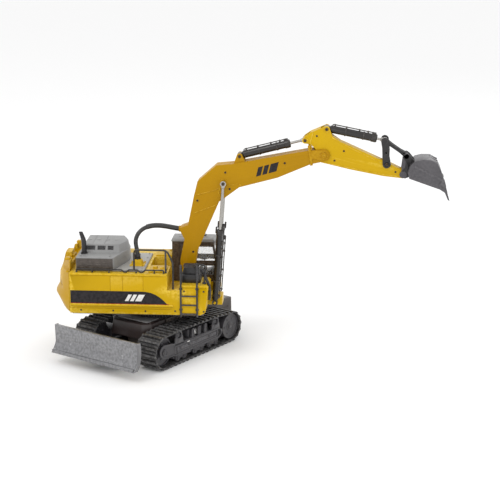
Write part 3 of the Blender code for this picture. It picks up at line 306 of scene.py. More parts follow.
def faceStud(centre, radius, low, high, steps, sides):
    return stepEnd(roundAt(centre, radius, low, high, sides=sides), (0, 1, 0), steps)


def bossAt(centre, radius, low, high, steps, sides):
    return bothEnds(roundAt(centre, radius, low, high, sides=sides), "y", steps)


def through(centre, radius, reach, sides):
    return roundAt(centre, radius, -reach, reach, sides=sides)     # a drill right through, for cutBy


def flipped(obj):
    return cleaned(copied(obj, Matrix.Scale(-1, 4, (0, 1, 0))))


def arcOf(centre, radius, start, end, steps):
    turns = [math.radians(start + (end - start) * i / steps) for i in range(steps + 1)]
    return [(centre[0] + radius * math.cos(t), centre[1] + radius * math.sin(t)) for t in turns]


def put(obj, name, finish, body, node=None, space=houseSpace, angle=30):
    obj.name = obj.data.name = name          # named, placed, finished and tied to its body
    obj.data.transform(space @ obj.matrix_world)
    obj.matrix_world = worldSpace
    only(obj)
    bpy.ops.object.shade_smooth_by_angle(angle=math.radians(angle))
    obj.data.materials.clear()
    obj.data.materials.append(finish)
    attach(obj, body)
    nodes = [node] if isinstance(node, str) else list(node or [])
    if nodes:
        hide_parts(*nodes)
    return obj


def casting(node, space=houseSpace):
    source = frame["nodes"][node]            # a CAD node's shape in its working space, flat faces joined
    obj = bpy.data.objects.new("casting", source.data.copy())
    bpy.context.collection.objects.link(obj)
    obj.data.transform(space.inverted())
    edit(obj)
    bpy.ops.mesh.remove_doubles(threshold=2e-6)
    bpy.ops.mesh.dissolve_limited(angle_limit=math.radians(0.6))
    done()
    return obj


# shared effects
def groupOf(name, inputs, outputs):
    tree = bpy.data.node_groups.new(name, "ShaderNodeTree")
    for title, value in inputs:
        socket = tree.interface.new_socket(name=title, in_out="INPUT", socket_type="NodeSocketFloat")
        socket.default_value = value
    for title, kind in outputs:
        tree.interface.new_socket(name=title, in_out="OUTPUT", socket_type=kind)
    return tree, tree.nodes.new("NodeGroupInput"), tree.nodes.new("NodeGroupOutput")


def add(tree, kind, links=(), **values):
    node = tree.nodes.new(kind)
    for key, value in values.items():
        if key.startswith("in_"):
            node.inputs[int(key[3:])].default_value = value
        else:
            setattr(node, key, value)
    for socket, source in links:
        tree.links.new(source, node.inputs[socket])
    return node


def maths(tree, operation, a, b):
    node = tree.nodes.new("ShaderNodeMath")
    node.operation = operation
    for i, value in enumerate((a, b)):
        if isinstance(value, (int, float)):
            node.inputs[i].default_value = value
        else:
            tree.links.new(value, node.inputs[i])
    return node.outputs[0]


def ramp(tree, source, low, high):
    node = add(tree, "ShaderNodeMapRange", [("Value", source)])
    node.inputs["From Min"].default_value = low
    node.inputs["From Max"].default_value = high
    return node.outputs["Result"]


def mouldedSkin():
    tree, given, result = groupOf("moulded skin", [("Grain", 900), ("Patch", 18), ("Dust", 0.5)],
                                  [("Height", "NodeSocketFloat"), ("Patch", "NodeSocketFloat"),
                                   ("Edge", "NodeSocketFloat"), ("Dust", "NodeSocketFloat")])
    place = add(tree, "ShaderNodeTexCoord").outputs["Object"]
    fine = add(tree, "ShaderNodeTexNoise", [("Vector", place), ("Scale", given.outputs["Grain"])], in_3=2.0)
    swirl = add(tree, "ShaderNodeTexNoise", [("Vector", place), ("Scale", given.outputs["Patch"])], in_3=3.0)
    speck = add(tree, "ShaderNodeTexNoise", [("Vector", place)], in_2=260.0, in_3=4.0)
    shape = add(tree, "ShaderNodeNewGeometry")
    tree.links.new(fine.outputs[0], result.inputs["Height"])
    tree.links.new(swirl.outputs[0], result.inputs["Patch"])
    # lighter convex edges, broken up by speckle: painted highlight on the edges
    corners = ramp(tree, shape.outputs["Pointiness"], 0.53, 0.64)
    tree.links.new(maths(tree, "MULTIPLY", corners, ramp(tree, speck.outputs[0], 0.35, 0.6)),
                   result.inputs["Edge"])
    upward = add(tree, "ShaderNodeSeparateXYZ", [(0, shape.outputs["Normal"])]).outputs["Z"]
    settledDust = maths(tree, "MULTIPLY", ramp(tree, upward, 0.35, 1.0),
                        ramp(tree, speck.outputs[0], 0.42, 0.7))
    tree.links.new(maths(tree, "MULTIPLY", settledDust, given.outputs["Dust"]), result.inputs["Dust"])
    return tree


def sparkle():
    # random light cells to be mixed into the base colour: painted glints of the metal flake
    tree, given, result = groupOf("metal flake", [("Size", 1500)], [("Glint", "NodeSocketFloat")])
    place = add(tree, "ShaderNodeTexCoord").outputs["Object"]
    cells = add(tree, "ShaderNodeTexVoronoi", [("Vector", place), ("Scale", given.outputs["Size"])])
    tree.links.new(add(tree, "ShaderNodeSeparateXYZ", [(0, cells.outputs["Color"])]).outputs[0],
                   result.inputs["Glint"])
    return tree


def linear(colour):
    channels = [c / 255 for c in colour]
    return [c / 12.92 if c <= 0.04045 else ((c + 0.055) / 1.055) ** 2.4 for c in channels] + [1.0]


skin, glintTree = mouldedSkin(), sparkle()


surface = {"grain": 2600, "patches": 9, "relief": 0.0002, "dust": (150, 147, 142), "wornEdge": 0.75,
           "dustRough": 0.3}


def finishOf(name, base, patch, edge, rough, spread=0.06, bump=0.1, metal=0.0, dust=0.25, glint=0.0,
             specular=0.5, alpha=1.0):
    mat = bpy.data.materials.new(name)
    mat.use_nodes = True
    tree = mat.node_tree
    shader = tree.nodes["Principled BSDF"]
    shader.inputs["Metallic"].default_value = metal
    shader.inputs["Specular IOR Level"].default_value = specular
    shader.inputs["Alpha"].default_value = alpha
    effect = add(tree, "ShaderNodeGroup", node_tree=skin)
    effect.inputs["Grain"].default_value = surface["grain"]
    effect.inputs["Patch"].default_value = surface["patches"]
    effect.inputs["Dust"].default_value = dust
    colour = mixed(tree, ramp(tree, effect.outputs["Patch"], 0.35, 0.65), linear(base), linear(patch))
    # lighter flake cells: painted glint
    if glint:
        shine = add(tree, "ShaderNodeGroup", node_tree=glintTree)
        share = maths(tree, "MULTIPLY", shine.outputs["Glint"], glint)
        colour = mixed(tree, share, colour, linear(edge))
    # edges mixed toward the lighter tint: painted edge highlight
    colour = mixed(tree, maths(tree, "MULTIPLY", effect.outputs["Edge"], surface["wornEdge"]), colour,
                   linear(edge))
    colour = mixed(tree, effect.outputs["Dust"], colour, linear(surface["dust"]))
    tree.links.new(colour, shader.inputs["Base Color"])
    wander = maths(tree, "MULTIPLY_ADD", effect.outputs["Patch"], spread)
    wander.node.inputs[2].default_value = rough - spread / 2
    tree.links.new(maths(tree, "ADD", wander,
                         maths(tree, "MULTIPLY", effect.outputs["Dust"], surface["dustRough"])),
                   shader.inputs["Roughness"])
    relief = add(tree, "ShaderNodeBump", [("Height", effect.outputs["Height"])])
    relief.inputs["Strength"].default_value = bump
    relief.inputs["Distance"].default_value = surface["relief"]
    tree.links.new(relief.outputs["Normal"], shader.inputs["Normal"])
    return mat


def mixed(tree, share, first, second):
    node = add(tree, "ShaderNodeMix", data_type="RGBA")
    tree.links.new(share, node.inputs["Factor"])
    for socket, value in ((6, first), (7, second)):
        if isinstance(value, list):
            node.inputs[socket].default_value = value
        else:
            tree.links.new(value, node.inputs[socket])
    return node.outputs[2]


bodyYellow = finishOf("body yellow plastic", (203, 164, 2), (197, 157, 1), (238, 206, 84), 0.36, dust=0.02,
                      specular=0.16)
boomYellow = finishOf("boom yellow plastic", (176, 131, 0), (170, 125, 0), (222, 180, 52), 0.38, dust=0.02,
                      specular=0.14)
# a darker, more orange copy of the body yellow: painted shade of the counterweight's sides that curve away
# from the light
tailShadeYellow = finishOf("counterweight yellow plastic", (188, 146, 1), (181, 139, 1), (228, 190, 62), 0.38,
                      dust=0.02, specular=0.16)
satinGrey = finishOf("satin grey plastic", (134, 134, 133), (127, 127, 127), (168, 168, 167), 0.4, dust=0.08)
paleGrey = finishOf("pale deck plastic", (160, 158, 152), (152, 150, 145), (188, 186, 180), 0.42, dust=0.1)
frameGrey = finishOf("running gear plastic", (58, 56, 59), (51, 49, 52), (104, 102, 105), 0.36, dust=0.06)
darkBrown = finishOf("cab frame plastic", (64, 50, 40), (57, 44, 36), (104, 90, 76), 0.4, dust=0.05)
hoodDark = finishOf("hood side plastic", (64, 56, 50), (58, 50, 45), (106, 97, 90), 0.42, dust=0.05)
# dark brown for the chassis cover: painted shade under the house
coverShadeDark = finishOf("chassis cover plastic", (44, 34, 32), (38, 29, 28), (92, 80, 76), 0.34, dust=0.05)
mattBlack = finishOf("black plastic", (28, 26, 28), (23, 22, 23), (84, 82, 84), 0.32, dust=0.04)
glossBlack = finishOf("cylinder black plastic", (38, 34, 32), (31, 28, 27), (104, 98, 92), 0.24, dust=0.03)
trackBlack = finishOf("track rubber", (30, 29, 30), (24, 23, 24), (112, 110, 110), 0.38, bump=0.16, dust=0.04)
hoseRubber = finishOf("hose rubber", (48, 47, 46), (42, 41, 40), (88, 86, 84), 0.3, bump=0.1, dust=0.03)
silverPaint = finishOf("silver paint", (120, 120, 122), (115, 115, 117), (190, 190, 192), 0.3, metal=0.7,
                       glint=0.02, dust=0.02)
bucketGrey = finishOf("bucket grey paint", (84, 82, 85), (78, 76, 79), (150, 148, 151), 0.34, metal=0.5,
                      glint=0.02, dust=0.02)
chrome = finishOf("polished steel", (168, 165, 160), (158, 155, 150), (216, 214, 210), 0.2, spread=0.06,
                  metal=1.0, bump=0.03, dust=0.0)
screwSteel = finishOf("blackened screw", (58, 42, 26), (50, 36, 22), (96, 84, 66), 0.35, metal=0.4, dust=0.03)
markBlack = finishOf("black print", (32, 29, 30), (28, 25, 27), (50, 46, 48), 0.36, bump=0.04, dust=0.0,
                     specular=0.2)
markRed = finishOf("red print", (146, 20, 16), (136, 17, 14), (176, 56, 46), 0.32, bump=0.04, dust=0.02)
markWhite = finishOf("white print", (226, 224, 220), (220, 218, 214), (240, 239, 236), 0.36, bump=0.04,
                     dust=0.02)
boardGreen = finishOf("circuit board", (24, 96, 46), (20, 84, 40), (60, 130, 80), 0.4, dust=0.02)
paneClear = finishOf("clear pane", (226, 230, 232), (220, 224, 226), (240, 242, 243), 0.06, spread=0.02,
                     bump=0.01, dust=0.0, alpha=0.12)
print("finishes ready")


# camera, light and floor
view = {"turn": 4.0, "rise": 15.1, "lens": 108.0, "far": 2400.0, "right": 145.6, "up": 152.96}
turn, rise = math.radians(view["turn"]), math.radians(view["rise"])
back = Vector((math.sin(turn) * math.cos(rise), -math.cos(turn) * math.cos(rise), math.sin(rise)))
across = Vector((math.cos(turn), math.sin(turn), 0))
stand = Vector((turntable.x, turntable.y, 0)) + \
    (back * view["far"] + across * view["right"] + back.cross(across) * view["up"]) * mm
nothing()
bpy.ops.object.camera_add(location=stand, rotation=(math.pi / 2 - rise, 0, turn))
camera = bpy.context.object
camera.data.lens = view["lens"]
camera.data.clip_end = 50
bpy.context.scene.camera = camera
bpy.context.scene.view_settings.view_transform = "Standard"

studio = {"key": ((-1.3, -1.2, 2.1), 1.1, 15), "front": ((0.5, -2.4, 0.7), 1.0, 3),
          "rim": ((1.0, 1.4, 1.5), 1.2, 6), "sky": 1.0, "floor": (248, 248, 248)}
for name in ("key", "front", "rim"):
    spot, size, power = studio[name]
    nothing()
    bpy.ops.object.light_add(type="AREA", location=spot)
    lamp = bpy.context.object
    lamp.name = name + " light"
    lamp.data.size = size
    lamp.data.energy = power
    lamp.rotation_euler = (Vector((0, 0, 0.12)) - Vector(spot)).to_track_quat("-Z", "Y").to_euler()
world = bpy.context.scene.world or bpy.data.worlds.new("studio")
bpy.context.scene.world = world
world.use_nodes = True
world.node_tree.nodes["Background"].inputs[0].default_value = (1, 1, 1, 1)
world.node_tree.nodes["Background"].inputs[1].default_value = studio["sky"]
nothing()
bpy.ops.mesh.primitive_plane_add(size=14, location=(0, 0, -0.0002))
floor = settled()
floor.name = "studio_floor"
paper = bpy.data.materials.new("studio paper")
paper.use_nodes = True
paper.node_tree.nodes["Principled BSDF"].inputs["Base Color"].default_value = linear(studio["floor"])
paper.node_tree.nodes["Principled BSDF"].inputs["Roughness"].default_value = 0.9
floor.data.materials.append(paper)
floor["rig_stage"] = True
print("studio ready")


# tracks: wheel places come from the joints, the belt is one shoe copied along the line round them
belt = {"plate": 2.2, "grouser": 1.6, "gap": 0.7, "shoes": 48, "gauge": 126, "width": 40}
wheels = {"sprocket": 20.8, "idler": 22.8, "roller": 6.0}


def wheelPlace(joint):
    place = trackSpace.inverted() @ Vector(joints[joint]["pos_m"]) / mm
    return place.x, place.z


sprocketAt, idlerAt = wheelPlace("drive_left"), wheelPlace("idler_turn_left")
carriersAt = [wheelPlace("carrier_turn_left_rear"), wheelPlace("carrier_turn_left_front")]


def beltLine():
    stops = [(sprocketAt, wheels["sprocket"]), (carriersAt[0], wheels["roller"]),
             (carriersAt[1], wheels["roller"]), (idlerAt, wheels["idler"])]
    stops = [(Vector(c), r + belt["gap"]) for c, r in stops]
    leaves = []
    for (a, ra), (b, rb) in zip(stops, stops[1:] + stops[:1]):
        lean = math.atan2((b - a).y, (b - a).x) + math.pi / 2 - math.asin((ra - rb) / (b - a).length)
        out = Vector((math.cos(lean), math.sin(lean)))
        leaves.append((a + out * ra, b + out * rb))
    line = []
    for i, (c, r) in enumerate(stops):
        start = math.atan2(*(leaves[i - 1][1] - c).yx)
        sweep = (start - math.atan2(*(leaves[i][0] - c).yx)) % (2 * math.pi)
        steps = max(2, int(sweep / math.radians(3)))
        line += [c + r * Vector((math.cos(start - sweep * k / steps), math.sin(start - sweep * k / steps)))
                 for k in range(steps + 1)]
    return line + line[:1]


def stationsOn(line, count, share):
    lengths = [0.0]
    for a, b in zip(line, line[1:]):
        lengths.append(lengths[-1] + (b - a).length)
    found, at = [], 0
    for n in range(count):
        want = lengths[-1] * (n + share) / count
        while lengths[at + 1] < want:
            at += 1
        way = (line[at + 1] - line[at]).normalized()
        found.append((line[at] + way * (want - lengths[at]), way))
    return found, lengths[-1] / count


line = beltLine()
stations, pitch = stationsOn(line, belt["shoes"], 0.5)
half = belt["width"] / 2


def shoeAtOrigin():
    plate = softBox((-pitch * 0.475, pitch * 0.475), (-half, half), (0.5, belt["plate"] - 0.5), 0.3, 1)
    edit(plate)
    pick(plate, lambda f: f.normal.z > 0.99)
    bpy.ops.mesh.inset(thickness=0.9 * mm, depth=-0.25 * mm)
    done()
    rib = boxAt((-pitch * 0.21, pitch * 0.15), (-half + 0.2, half - 0.2),
                (belt["plate"] - 1.0, belt["plate"] + belt["grouser"]))
    rib = rounded(rib, 0.4, 1)
    ends = [softBox((-pitch * 0.36, pitch * 0.3), sideSpan(s, half - 3.4, half), (0.2, belt["plate"]), 0.4, 1)
            for s in (-1, 1)]
    hinge = roundAt((pitch * 0.5, 0.7), 0.7, -half + 0.4, half - 0.4, sides=8)
    return joined(plate, rib, ends, hinge)


shoe = shoeAtOrigin()
shoes = []
for spot, way in stations:
    lean = Matrix.Rotation(-math.atan2(way.y, way.x), 4, "Y")
    shoes.append(copied(shoe, shift(spot.x, 0, spot.y) @ lean))
bpy.data.objects.remove(shoe)
beltMesh = joined(shoes)
for side, sign in (("left", 1), ("right", -1)):
    band = copied(beltMesh, shift(0, sign * belt["gauge"] / 2, 0))
    put(band, "track_shoes_" + side, trackBlack, "undercarriage", "track_belt_" + side, trackSpace)
bpy.data.objects.remove(beltMesh)
print("track belts ready")


sprocketPlan = {"radius": 20.2, "half": 15.6, "bolts": 6, "boltCircle": 12.9, "bolt": 1.1, "boltFace": 15.0,
                "cap": 2.4, "capFace": 16.1}
idlerPlan = {"radius": 22.4, "half": 11.6, "pegs": 8, "pegCircle": 11.8, "peg": 2.0, "pegHalf": 11.0}
rollerPlan = {"radius": 5.8, "half": 12.8}


def around(count, radius):
    return [(radius * math.cos(t), radius * math.sin(t))
            for t in [math.tau * k / count for k in range(count)]]


def sprocketAtOrigin():
    disc = roundAt((0, 0), sprocketPlan["radius"], -sprocketPlan["half"], sprocketPlan["half"], sides=56)
    disc = bothEnds(disc, "y", ((1.0, -0.1), (1.2, -0.9), (9.2, 0.0), (0.6, 0.5), (3.4, 0.9), (0.9, 0)))
    disc = rounded(disc, 0.5, 2, 30)
    at, out = sprocketPlan["boltFace"], sprocketPlan["capFace"]
    bolts = [roundAt(spot, sprocketPlan["bolt"], s * at - 0.6, s * at + 0.6, sides=6)
             for s in (-1, 1) for spot in around(sprocketPlan["bolts"], sprocketPlan["boltCircle"])]
    cap = [roundAt((0, 0), sprocketPlan["cap"], s * out - 0.7, s * out + 0.7, sides=6) for s in (-1, 1)]
    return joined(disc, bolts, cap)


def idlerAtOrigin():
    disc = roundAt((0, 0), idlerPlan["radius"], -idlerPlan["half"], idlerPlan["half"], sides=56)
    disc = bothEnds(disc, "y", ((1.4, 0.1), (1.0, -1.6), (9.0, 0.0), (0.8, 1.4), (5.0, 0.6)))
    disc = rounded(disc, 0.5, 2, 30)
    reach = idlerPlan["pegHalf"]
    pegs = [roundAt(spot, idlerPlan["peg"], -reach, reach, sides=16)
            for spot in around(idlerPlan["pegs"], idlerPlan["pegCircle"])]
    return joined(disc, pegs)


def rollerAtOrigin():
    bar = roundAt((0, 0), rollerPlan["radius"], -rollerPlan["half"], rollerPlan["half"], sides=28)
    bar = bothEnds(bar, "y", ((1.0, -0.5), (1.6, 0.0), (0.3, 0.6), (0.9, 0)))
    return rounded(bar, 0.35, 2, 30)


sprocket, idler, roller = sprocketAtOrigin(), idlerAtOrigin(), rollerAtOrigin()
for side, sign in (("left", 1), ("right", -1)):
    y = sign * belt["gauge"] / 2
    for piece, spot, word in ((sprocket, sprocketAt, "sprocket_"), (idler, idlerAt, "idler_")):
        wheel = copied(piece, shift(spot[0], y, spot[1]))
        put(wheel, word + "wheel_" + side, frameGrey, word + side, word + side, trackSpace)
    for end, spot in zip(("rear", "front"), carriersAt):
        name = "carrier_roller_" + side + "_" + end
        put(copied(roller, shift(spot[0], y, spot[1])), "top_" + name, frameGrey, name, name, trackSpace)
for piece in (sprocket, idler, roller):
    bpy.data.objects.remove(piece)
print("wheels ready")


# the beam between the wheels, seen from its outer side, then mirrored for the other track
beam = {"inner": 47, "outer": 80}


def beamSide():
    inner, outer = beam["inner"], beam["outer"]
    rail = traced([(-62, 20), (-54, 14), (60, 14), (60, 34), (-56, 32)], inner, outer)
    rail = cutBy(rail, boxAt((-50, 56), (outer - 1.3, outer + 3), (19.5, 28.5)))
    rail = rounded(rail, 0.8, 2)
    ledge = softBox((-55, 59), (outer - 4, outer + 0.9), (29.6, 31.4), 0.5, 2)
    lower = softBox((-52, 57), (outer - 4, outer + 0.7), (15.2, 17.4), 0.5, 2)
    inset = softBox((-48, 54), (outer - 3, outer - 0.9), (21.6, 26.6), 0.4, 1)
    nose = arcOf((idlerAt[0] + 1, idlerAt[1] + 1), 10.8, -38, 105, 9)
    yoke = traced([(50, 15.5), (78, 15.6), (88, 18)] + nose + [(66, 37), (52, 33.6)], outer - 2.4, outer)
    yoke = stepEnd(rounded(yoke, 0.9, 2), (0, 1, 0), ((1.6, -0.6), (0.4, 0)))
    axle = faceStud(idlerAt, 5.2, outer - 2, outer + 0.9, ((1.0, -0.5), (1.2, 0.5), (0.5, 0)), 32)
    tail = traced([(-48, 16), (-48, 31.5), (-63, 27), (-63, 20)], outer - 2.4, outer)
    parts = [rail, ledge, lower, inset, yoke, axle, rounded(tail, 0.7, 2)]
    for x, z in carriersAt:
        arch = traced([(x - 11.5, 29), (x + 11.5, 29), (x + 9.4, z - 3)] + arcOf((x, z), 8.2, -12, 192, 12) +
                      [(x - 9.4, z - 3)], outer - 2.4, outer)
        arch = cutBy(arch, roundAt((x, z), 4.6, outer - 5, outer + 5, sides=32))
        arch = rounded(arch, 0.5, 2)
        rim = ring((x, z), 5.7, 0.9, outer - 0.1, sides=32)
        pin = faceStud((x, z), 2.8, outer - 9, outer - 0.7, ((0.7, -0.5), (0.6, 0)), 20)
        parts += [arch, rim, pin]
    for x in (-20, -4, 12):
        tab = traced([(x - 4, 30), (x + 4, 30), (x + 3.1, 44)] + arcOf((x, 44.5), 3.1, 10, 170, 5), outer - 5,
                     outer - 0.6)
        tab = stepEnd(rounded(tab, 0.5, 2), (0, 1, 0), ((1.0, -0.5),))
        parts.append(tab)
    parts.append(softBox((-27, 19), (inner + 4, outer - 6), (31, 45), 1.2, 2))
    for x in (-52, -28, 22, 44):
        bolt = faceStud((x, 24.2), 1.7, outer - 1.2, outer + 0.2, ((0.5, -0.4),), 6)
        parts.append(bolt)
    return joined(parts)


def bogieSide():
    inner, outer = beam["inner"] + 4, beam["outer"] - 4
    parts = [softBox((-56, 58), (inner, outer), (9, 13.6), 0.5, 1)]
    for middle in (-38, -1, 42):
        cradle = traced([(middle - 13, 13.6), (middle - 14, 8.4), (middle - 10.5, 4.8), (middle - 5.5, 4.8),
                         (middle - 3, 8.0), (middle + 3, 8.0), (middle + 5.5, 4.8), (middle + 10.5, 4.8),
                         (middle + 14, 8.4), (middle + 13, 13.6)], outer - 0.4, outer + 3.2)
        cradle = stepEnd(rounded(cradle, 0.6, 2), (0, 1, 0), ((1.1, -0.5),))
        parts.append(cradle)
        for x in (middle - 8, middle + 8):
            wheel = bossAt((x, 9.1), 4.5, inner + 0.5, outer - 0.5, ((0.8, -0.5),), 24)
            hub = faceStud((x, 9.1), 2.5, outer + 1, outer + 4.1, ((0.7, -0.5), (0.8, 0)), 20)
            parts += [rounded(wheel, 0.4, 1), hub]
    return joined(parts)


beamMesh, bogieMesh = beamSide(), bogieSide()
for side, turnOver in (("left", False), ("right", True)):
    for mesh, word, node in ((beamMesh, "track_beam_", "track_frame_"),
                             (bogieMesh, "bogies_", "bottom_rollers_")):
        other = flipped(mesh) if turnOver else copied(mesh, worldSpace)
        put(other, word + side, frameGrey, "undercarriage", node + side, trackSpace)
for mesh in (beamMesh, bogieMesh):
    bpy.data.objects.remove(mesh)


def slantedBars(centre, lean, height, width, gap, count, low, high, space, name, body, finish):
    bars = []                      # a plain mark of slanted bars where a name would be
    for i in range(count):
        u = (i - (count - 1) / 2) * (width + gap)
        spread = width * (1.0 if i < count - 1 else 1.7)
        slant = height * 0.28
        local = [(u - width / 2 - slant, -height / 2), (u - width / 2 - slant + spread, -height / 2),
                 (u - width / 2 + slant + spread, height / 2), (u - width / 2 + slant, height / 2)]
        c, s = math.cos(lean), math.sin(lean)
        bars.append(traced([(centre[0] + a * c - b * s, centre[1] + a * s + b * c) for a, b in local], low,
                           high))
    return put(joined(bars), name, finish, body, space=space)


for side, sign in (("left", 1), ("right", -1)):
    low, high = sideSpan(sign, beam["outer"] - 6.2, beam["outer"] - 5.6)
    slantedBars((-3, 38.5), 0, 7.5, 3.4, 1.4, 3, low, high, trackSpace, "beam_mark_" + side, "undercarriage",
                markWhite)
    low, high = sideSpan(sign, beam["outer"] + 0.7, beam["outer"] + 1.15)
    patch = softBox((23, 29), (low, high), (29.8, 31.2), 0.1, 1)
    put(patch, "beam_patch_" + side, markWhite, "undercarriage", space=trackSpace)
print("track beams ready")


# chassis between the tracks
chassis = casting("chassis_frame", trackSpace)
chassis = rounded(chassis, 1.0, 2)
ribs = []
for x in (-60, -38, 6, 22):
    for s in (-1, 1):
        ribs.append(softBox((x - 1.2, x + 1.2), sideSpan(s, 40.6, 42.4), (24, 57), 0.4, 1))
for x in (-62, -46, 14, 24):
    for s in (-1, 1):
        ribs.append(studAt((x, s * 33), 2.0, 59.4, 60.9, ((0.6, -0.6), (0.7, 0)), 20))
# the brownish dark finish on the chassis casting stands for the shade under the house: painted shade
put(joined(chassis, ribs), "chassis_casting", hoodDark, "undercarriage", "chassis_frame", trackSpace)
cover = rounded(casting("chassis_cover", trackSpace), 1.4, 3)
extra = [studAt((x, y), 1.9, 59.6, 60.9, ((0.5, -0.7), (0.7, 0)), 20)
          for x in (34, 62) for y in (-34, 34)]
topPlate = softBox((33, 64), (-30, 30), (59.4, 60.8), 0.5, 2)
put(topPlate, "cover_top_plate", satinGrey, "undercarriage", space=trackSpace)
# the cover's dark brown finish is painted shade under the house
put(joined(cover, extra), "chassis_cover_plate", coverShadeDark, "undercarriage", "chassis_cover", trackSpace)
slots = [boxAt((-141, -139.2), (y, y + 7), (28, 48)) for y in (-34, -24, -14, 7, 17, 27)]
slots += [boxAt((-130, -80), sideSpan(s, 40.3, 44), (z, z + 2.2)) for s in (-1, 1) for z in (26, 33, 40)]
house = rounded(cutBy(casting("rear_housing", trackSpace), *slots), 1.2, 3)
lidPlate = softBox((-136, -73), (-37, 37), (54.4, 55.8), 0.6, 2)
put(lidPlate, "housing_top_plate", satinGrey, "undercarriage", space=trackSpace)
extra = [studAt((x, y), 2.0, 54.6, 55.9, ((0.5, -0.7), (0.7, 0)), 20)
          for x in (-133, -76) for y in (-34, 34)]
# the brownish dark finish on the battery housing stands for the shade under the house: painted shade
put(joined(house, extra), "battery_housing", hoodDark, "undercarriage", "rear_housing", trackSpace)
door = rounded(casting("battery_door", trackSpace), 0.4, 1)
door = joined(door, [softBox((x, x + 1.6), (-28, 28), (20.0, 20.9), 0.25, 1)
                     for x in (-128, -124, -120, -116, -112)])
put(door, "battery_lid", mattBlack, "undercarriage", "battery_door", trackSpace)
cells = [rounded(roundAt((x, 37), 5.8, y0, y1, sides=24), 0.6, 2) for x in (-127.5, -115)
         for y0, y1 in ((-31, -1), (1, 31))]
cells = [softBox((-134, -104), (-32, 32), (31, 33.5), 0.8, 2)] + cells
cells += [softBox((-134, -104), (y, y + 2), (33, 49), 0.7, 2) for y in (-32, -1, 30)]
put(joined(cells), "battery_cells", mattBlack, "undercarriage", "battery_pack", trackSpace)
knob = softBox((-124, -120), (-3, 3), (19.4, 24), 0.5, 2)
ridges = [softBox((x - 0.3, x + 0.3), (-2.6, 2.6), (19.2, 19.8), 0.12, 1) for x in (-123, -122, -121)]
put(joined(knob, ridges), "power_switch_knob", mattBlack, "power_switch", "power_switch", trackSpace)
for side, sign in (("left", 1), ("right", -1)):
    motor = rounded(casting("drive_gearbox_" + side, trackSpace), 1.0, 2)
    fins = [softBox((-98.4, -70.8), sideSpan(sign, y, y + 1.2), (13.4, 38.6), 0.3, 1)
            for y in (12, 18, 24, 30)]
    put(joined(motor, fins), "drive_gearbox_casting_" + side, frameGrey, "undercarriage",
        "drive_gearbox_" + side, trackSpace)
ringCast = rounded(casting("slew_ring", trackSpace), 0.6, 2)
tooth = softBox((43.2, 45.2), (-0.9, 0.9), (61, 65.5), 0.3, 1)
teeth = [copied(tooth, Matrix.Rotation(math.tau * k / 60, 4, "Z")) for k in range(60)]
bpy.data.objects.remove(tooth)
put(joined(ringCast, teeth), "slew_ring_gear", mattBlack, "undercarriage", "slew_ring", trackSpace)
print("chassis ready")


# dozer blade
blade = {"half": 83, "low": 17, "height": 43, "reach": 161, "face": 149.4, "bend": 0.42, "skin": 2.4}


def bladeSkin():
    front = []
    for i in range(25):
        share = i / 24             # flat above, then one curve forward to the cutting edge
        turn = max(0.0, 1 - share / blade["bend"])
        x = blade["face"] + (blade["reach"] - blade["face"]) * turn ** 1.7 + 1.6 * share
        front.append((x, blade["low"] + blade["height"] * share))
    rear = [(x - blade["skin"], z) for x, z in front][::-1]
    inner = blade["half"] - 2
    face = traced(front + rear, -inner, inner)
    cheekLine = front + [(144, 60), (142.3, 52), (142, 44), (143.0, 34), (145.4, 26), (150.6, 17)]
    parts = [face]
    for s in (-1, 1):
        cheek = traced(cheekLine, *sideSpan(s, inner, blade["half"]))
        parts.append(rounded(cheek, 0.5, 2))
    top = traced([(151.9, 60.2), (147.6, 60.2), (146.6, 57.0), (150.4, 56.6)], -inner, inner)
    edge = traced([(161, 17), (161.2, 22.0), (159.4, 22.8), (157.6, 22.4), (158.2, 17)], -inner, inner)
    parts += [rounded(top, 0.5, 2), rounded(edge, 0.4, 2)]
    for y in (-52, 52):
        parts.append(softTrace([(152, 20), (143, 30), (142, 48), (146, 57), (148, 56)], y - 1.4, y + 1.4, 0.4,
                               1))
    parts.append(softBox((142.8, 147.6), (-60, 60), (37, 40), 0.8, 2))
    return joined(parts)


put(bladeSkin(), "blade_skin", silverPaint, "blade", "blade", trackSpace, angle=28)
arms = rounded(casting("blade_frame", trackSpace), 1.2, 3)
extra = []
for s in (-1, 1):
    extra.append(bossAt((50, 26), 3.6, *sideSpan(s, 17.2, 27.4), ((0.8, -0.5), (0.9, 0)), 28))
extra.append(softBox((108, 112), (-15, 15), (24, 34), 0.8, 2))
put(joined(arms, extra), "blade_arms", mattBlack, "blade", "blade_frame", trackSpace)
plate = softTrace([(84, 27), (84, 30.5), (106, 30.5), (140, 41), (140, 38), (108, 27)], -16.5, 16.5, 0.5, 2)
put(plate, "blade_tie_plate", satinGrey, "blade", space=trackSpace)
print("blade ready")


def screwsAt(spots, face, radius=1.5, sink=0.3):
    heads = []                     # round heads in a side face, with a sunk middle
    way = Vector(wayOf["y"]) * (1 if face > 0 else -1)
    for a, b in spots:
        low, high = sorted((face - math.copysign(1.0, face), face + math.copysign(sink, face)))
        head = stepEnd(roundAt((a, b), radius, low, high, sides=20), way,
                       ((radius * 0.22, -0.2), (radius * 0.1, 0)))
        heads.append(rounded(head, 0.12, 1))
    return joined(heads)


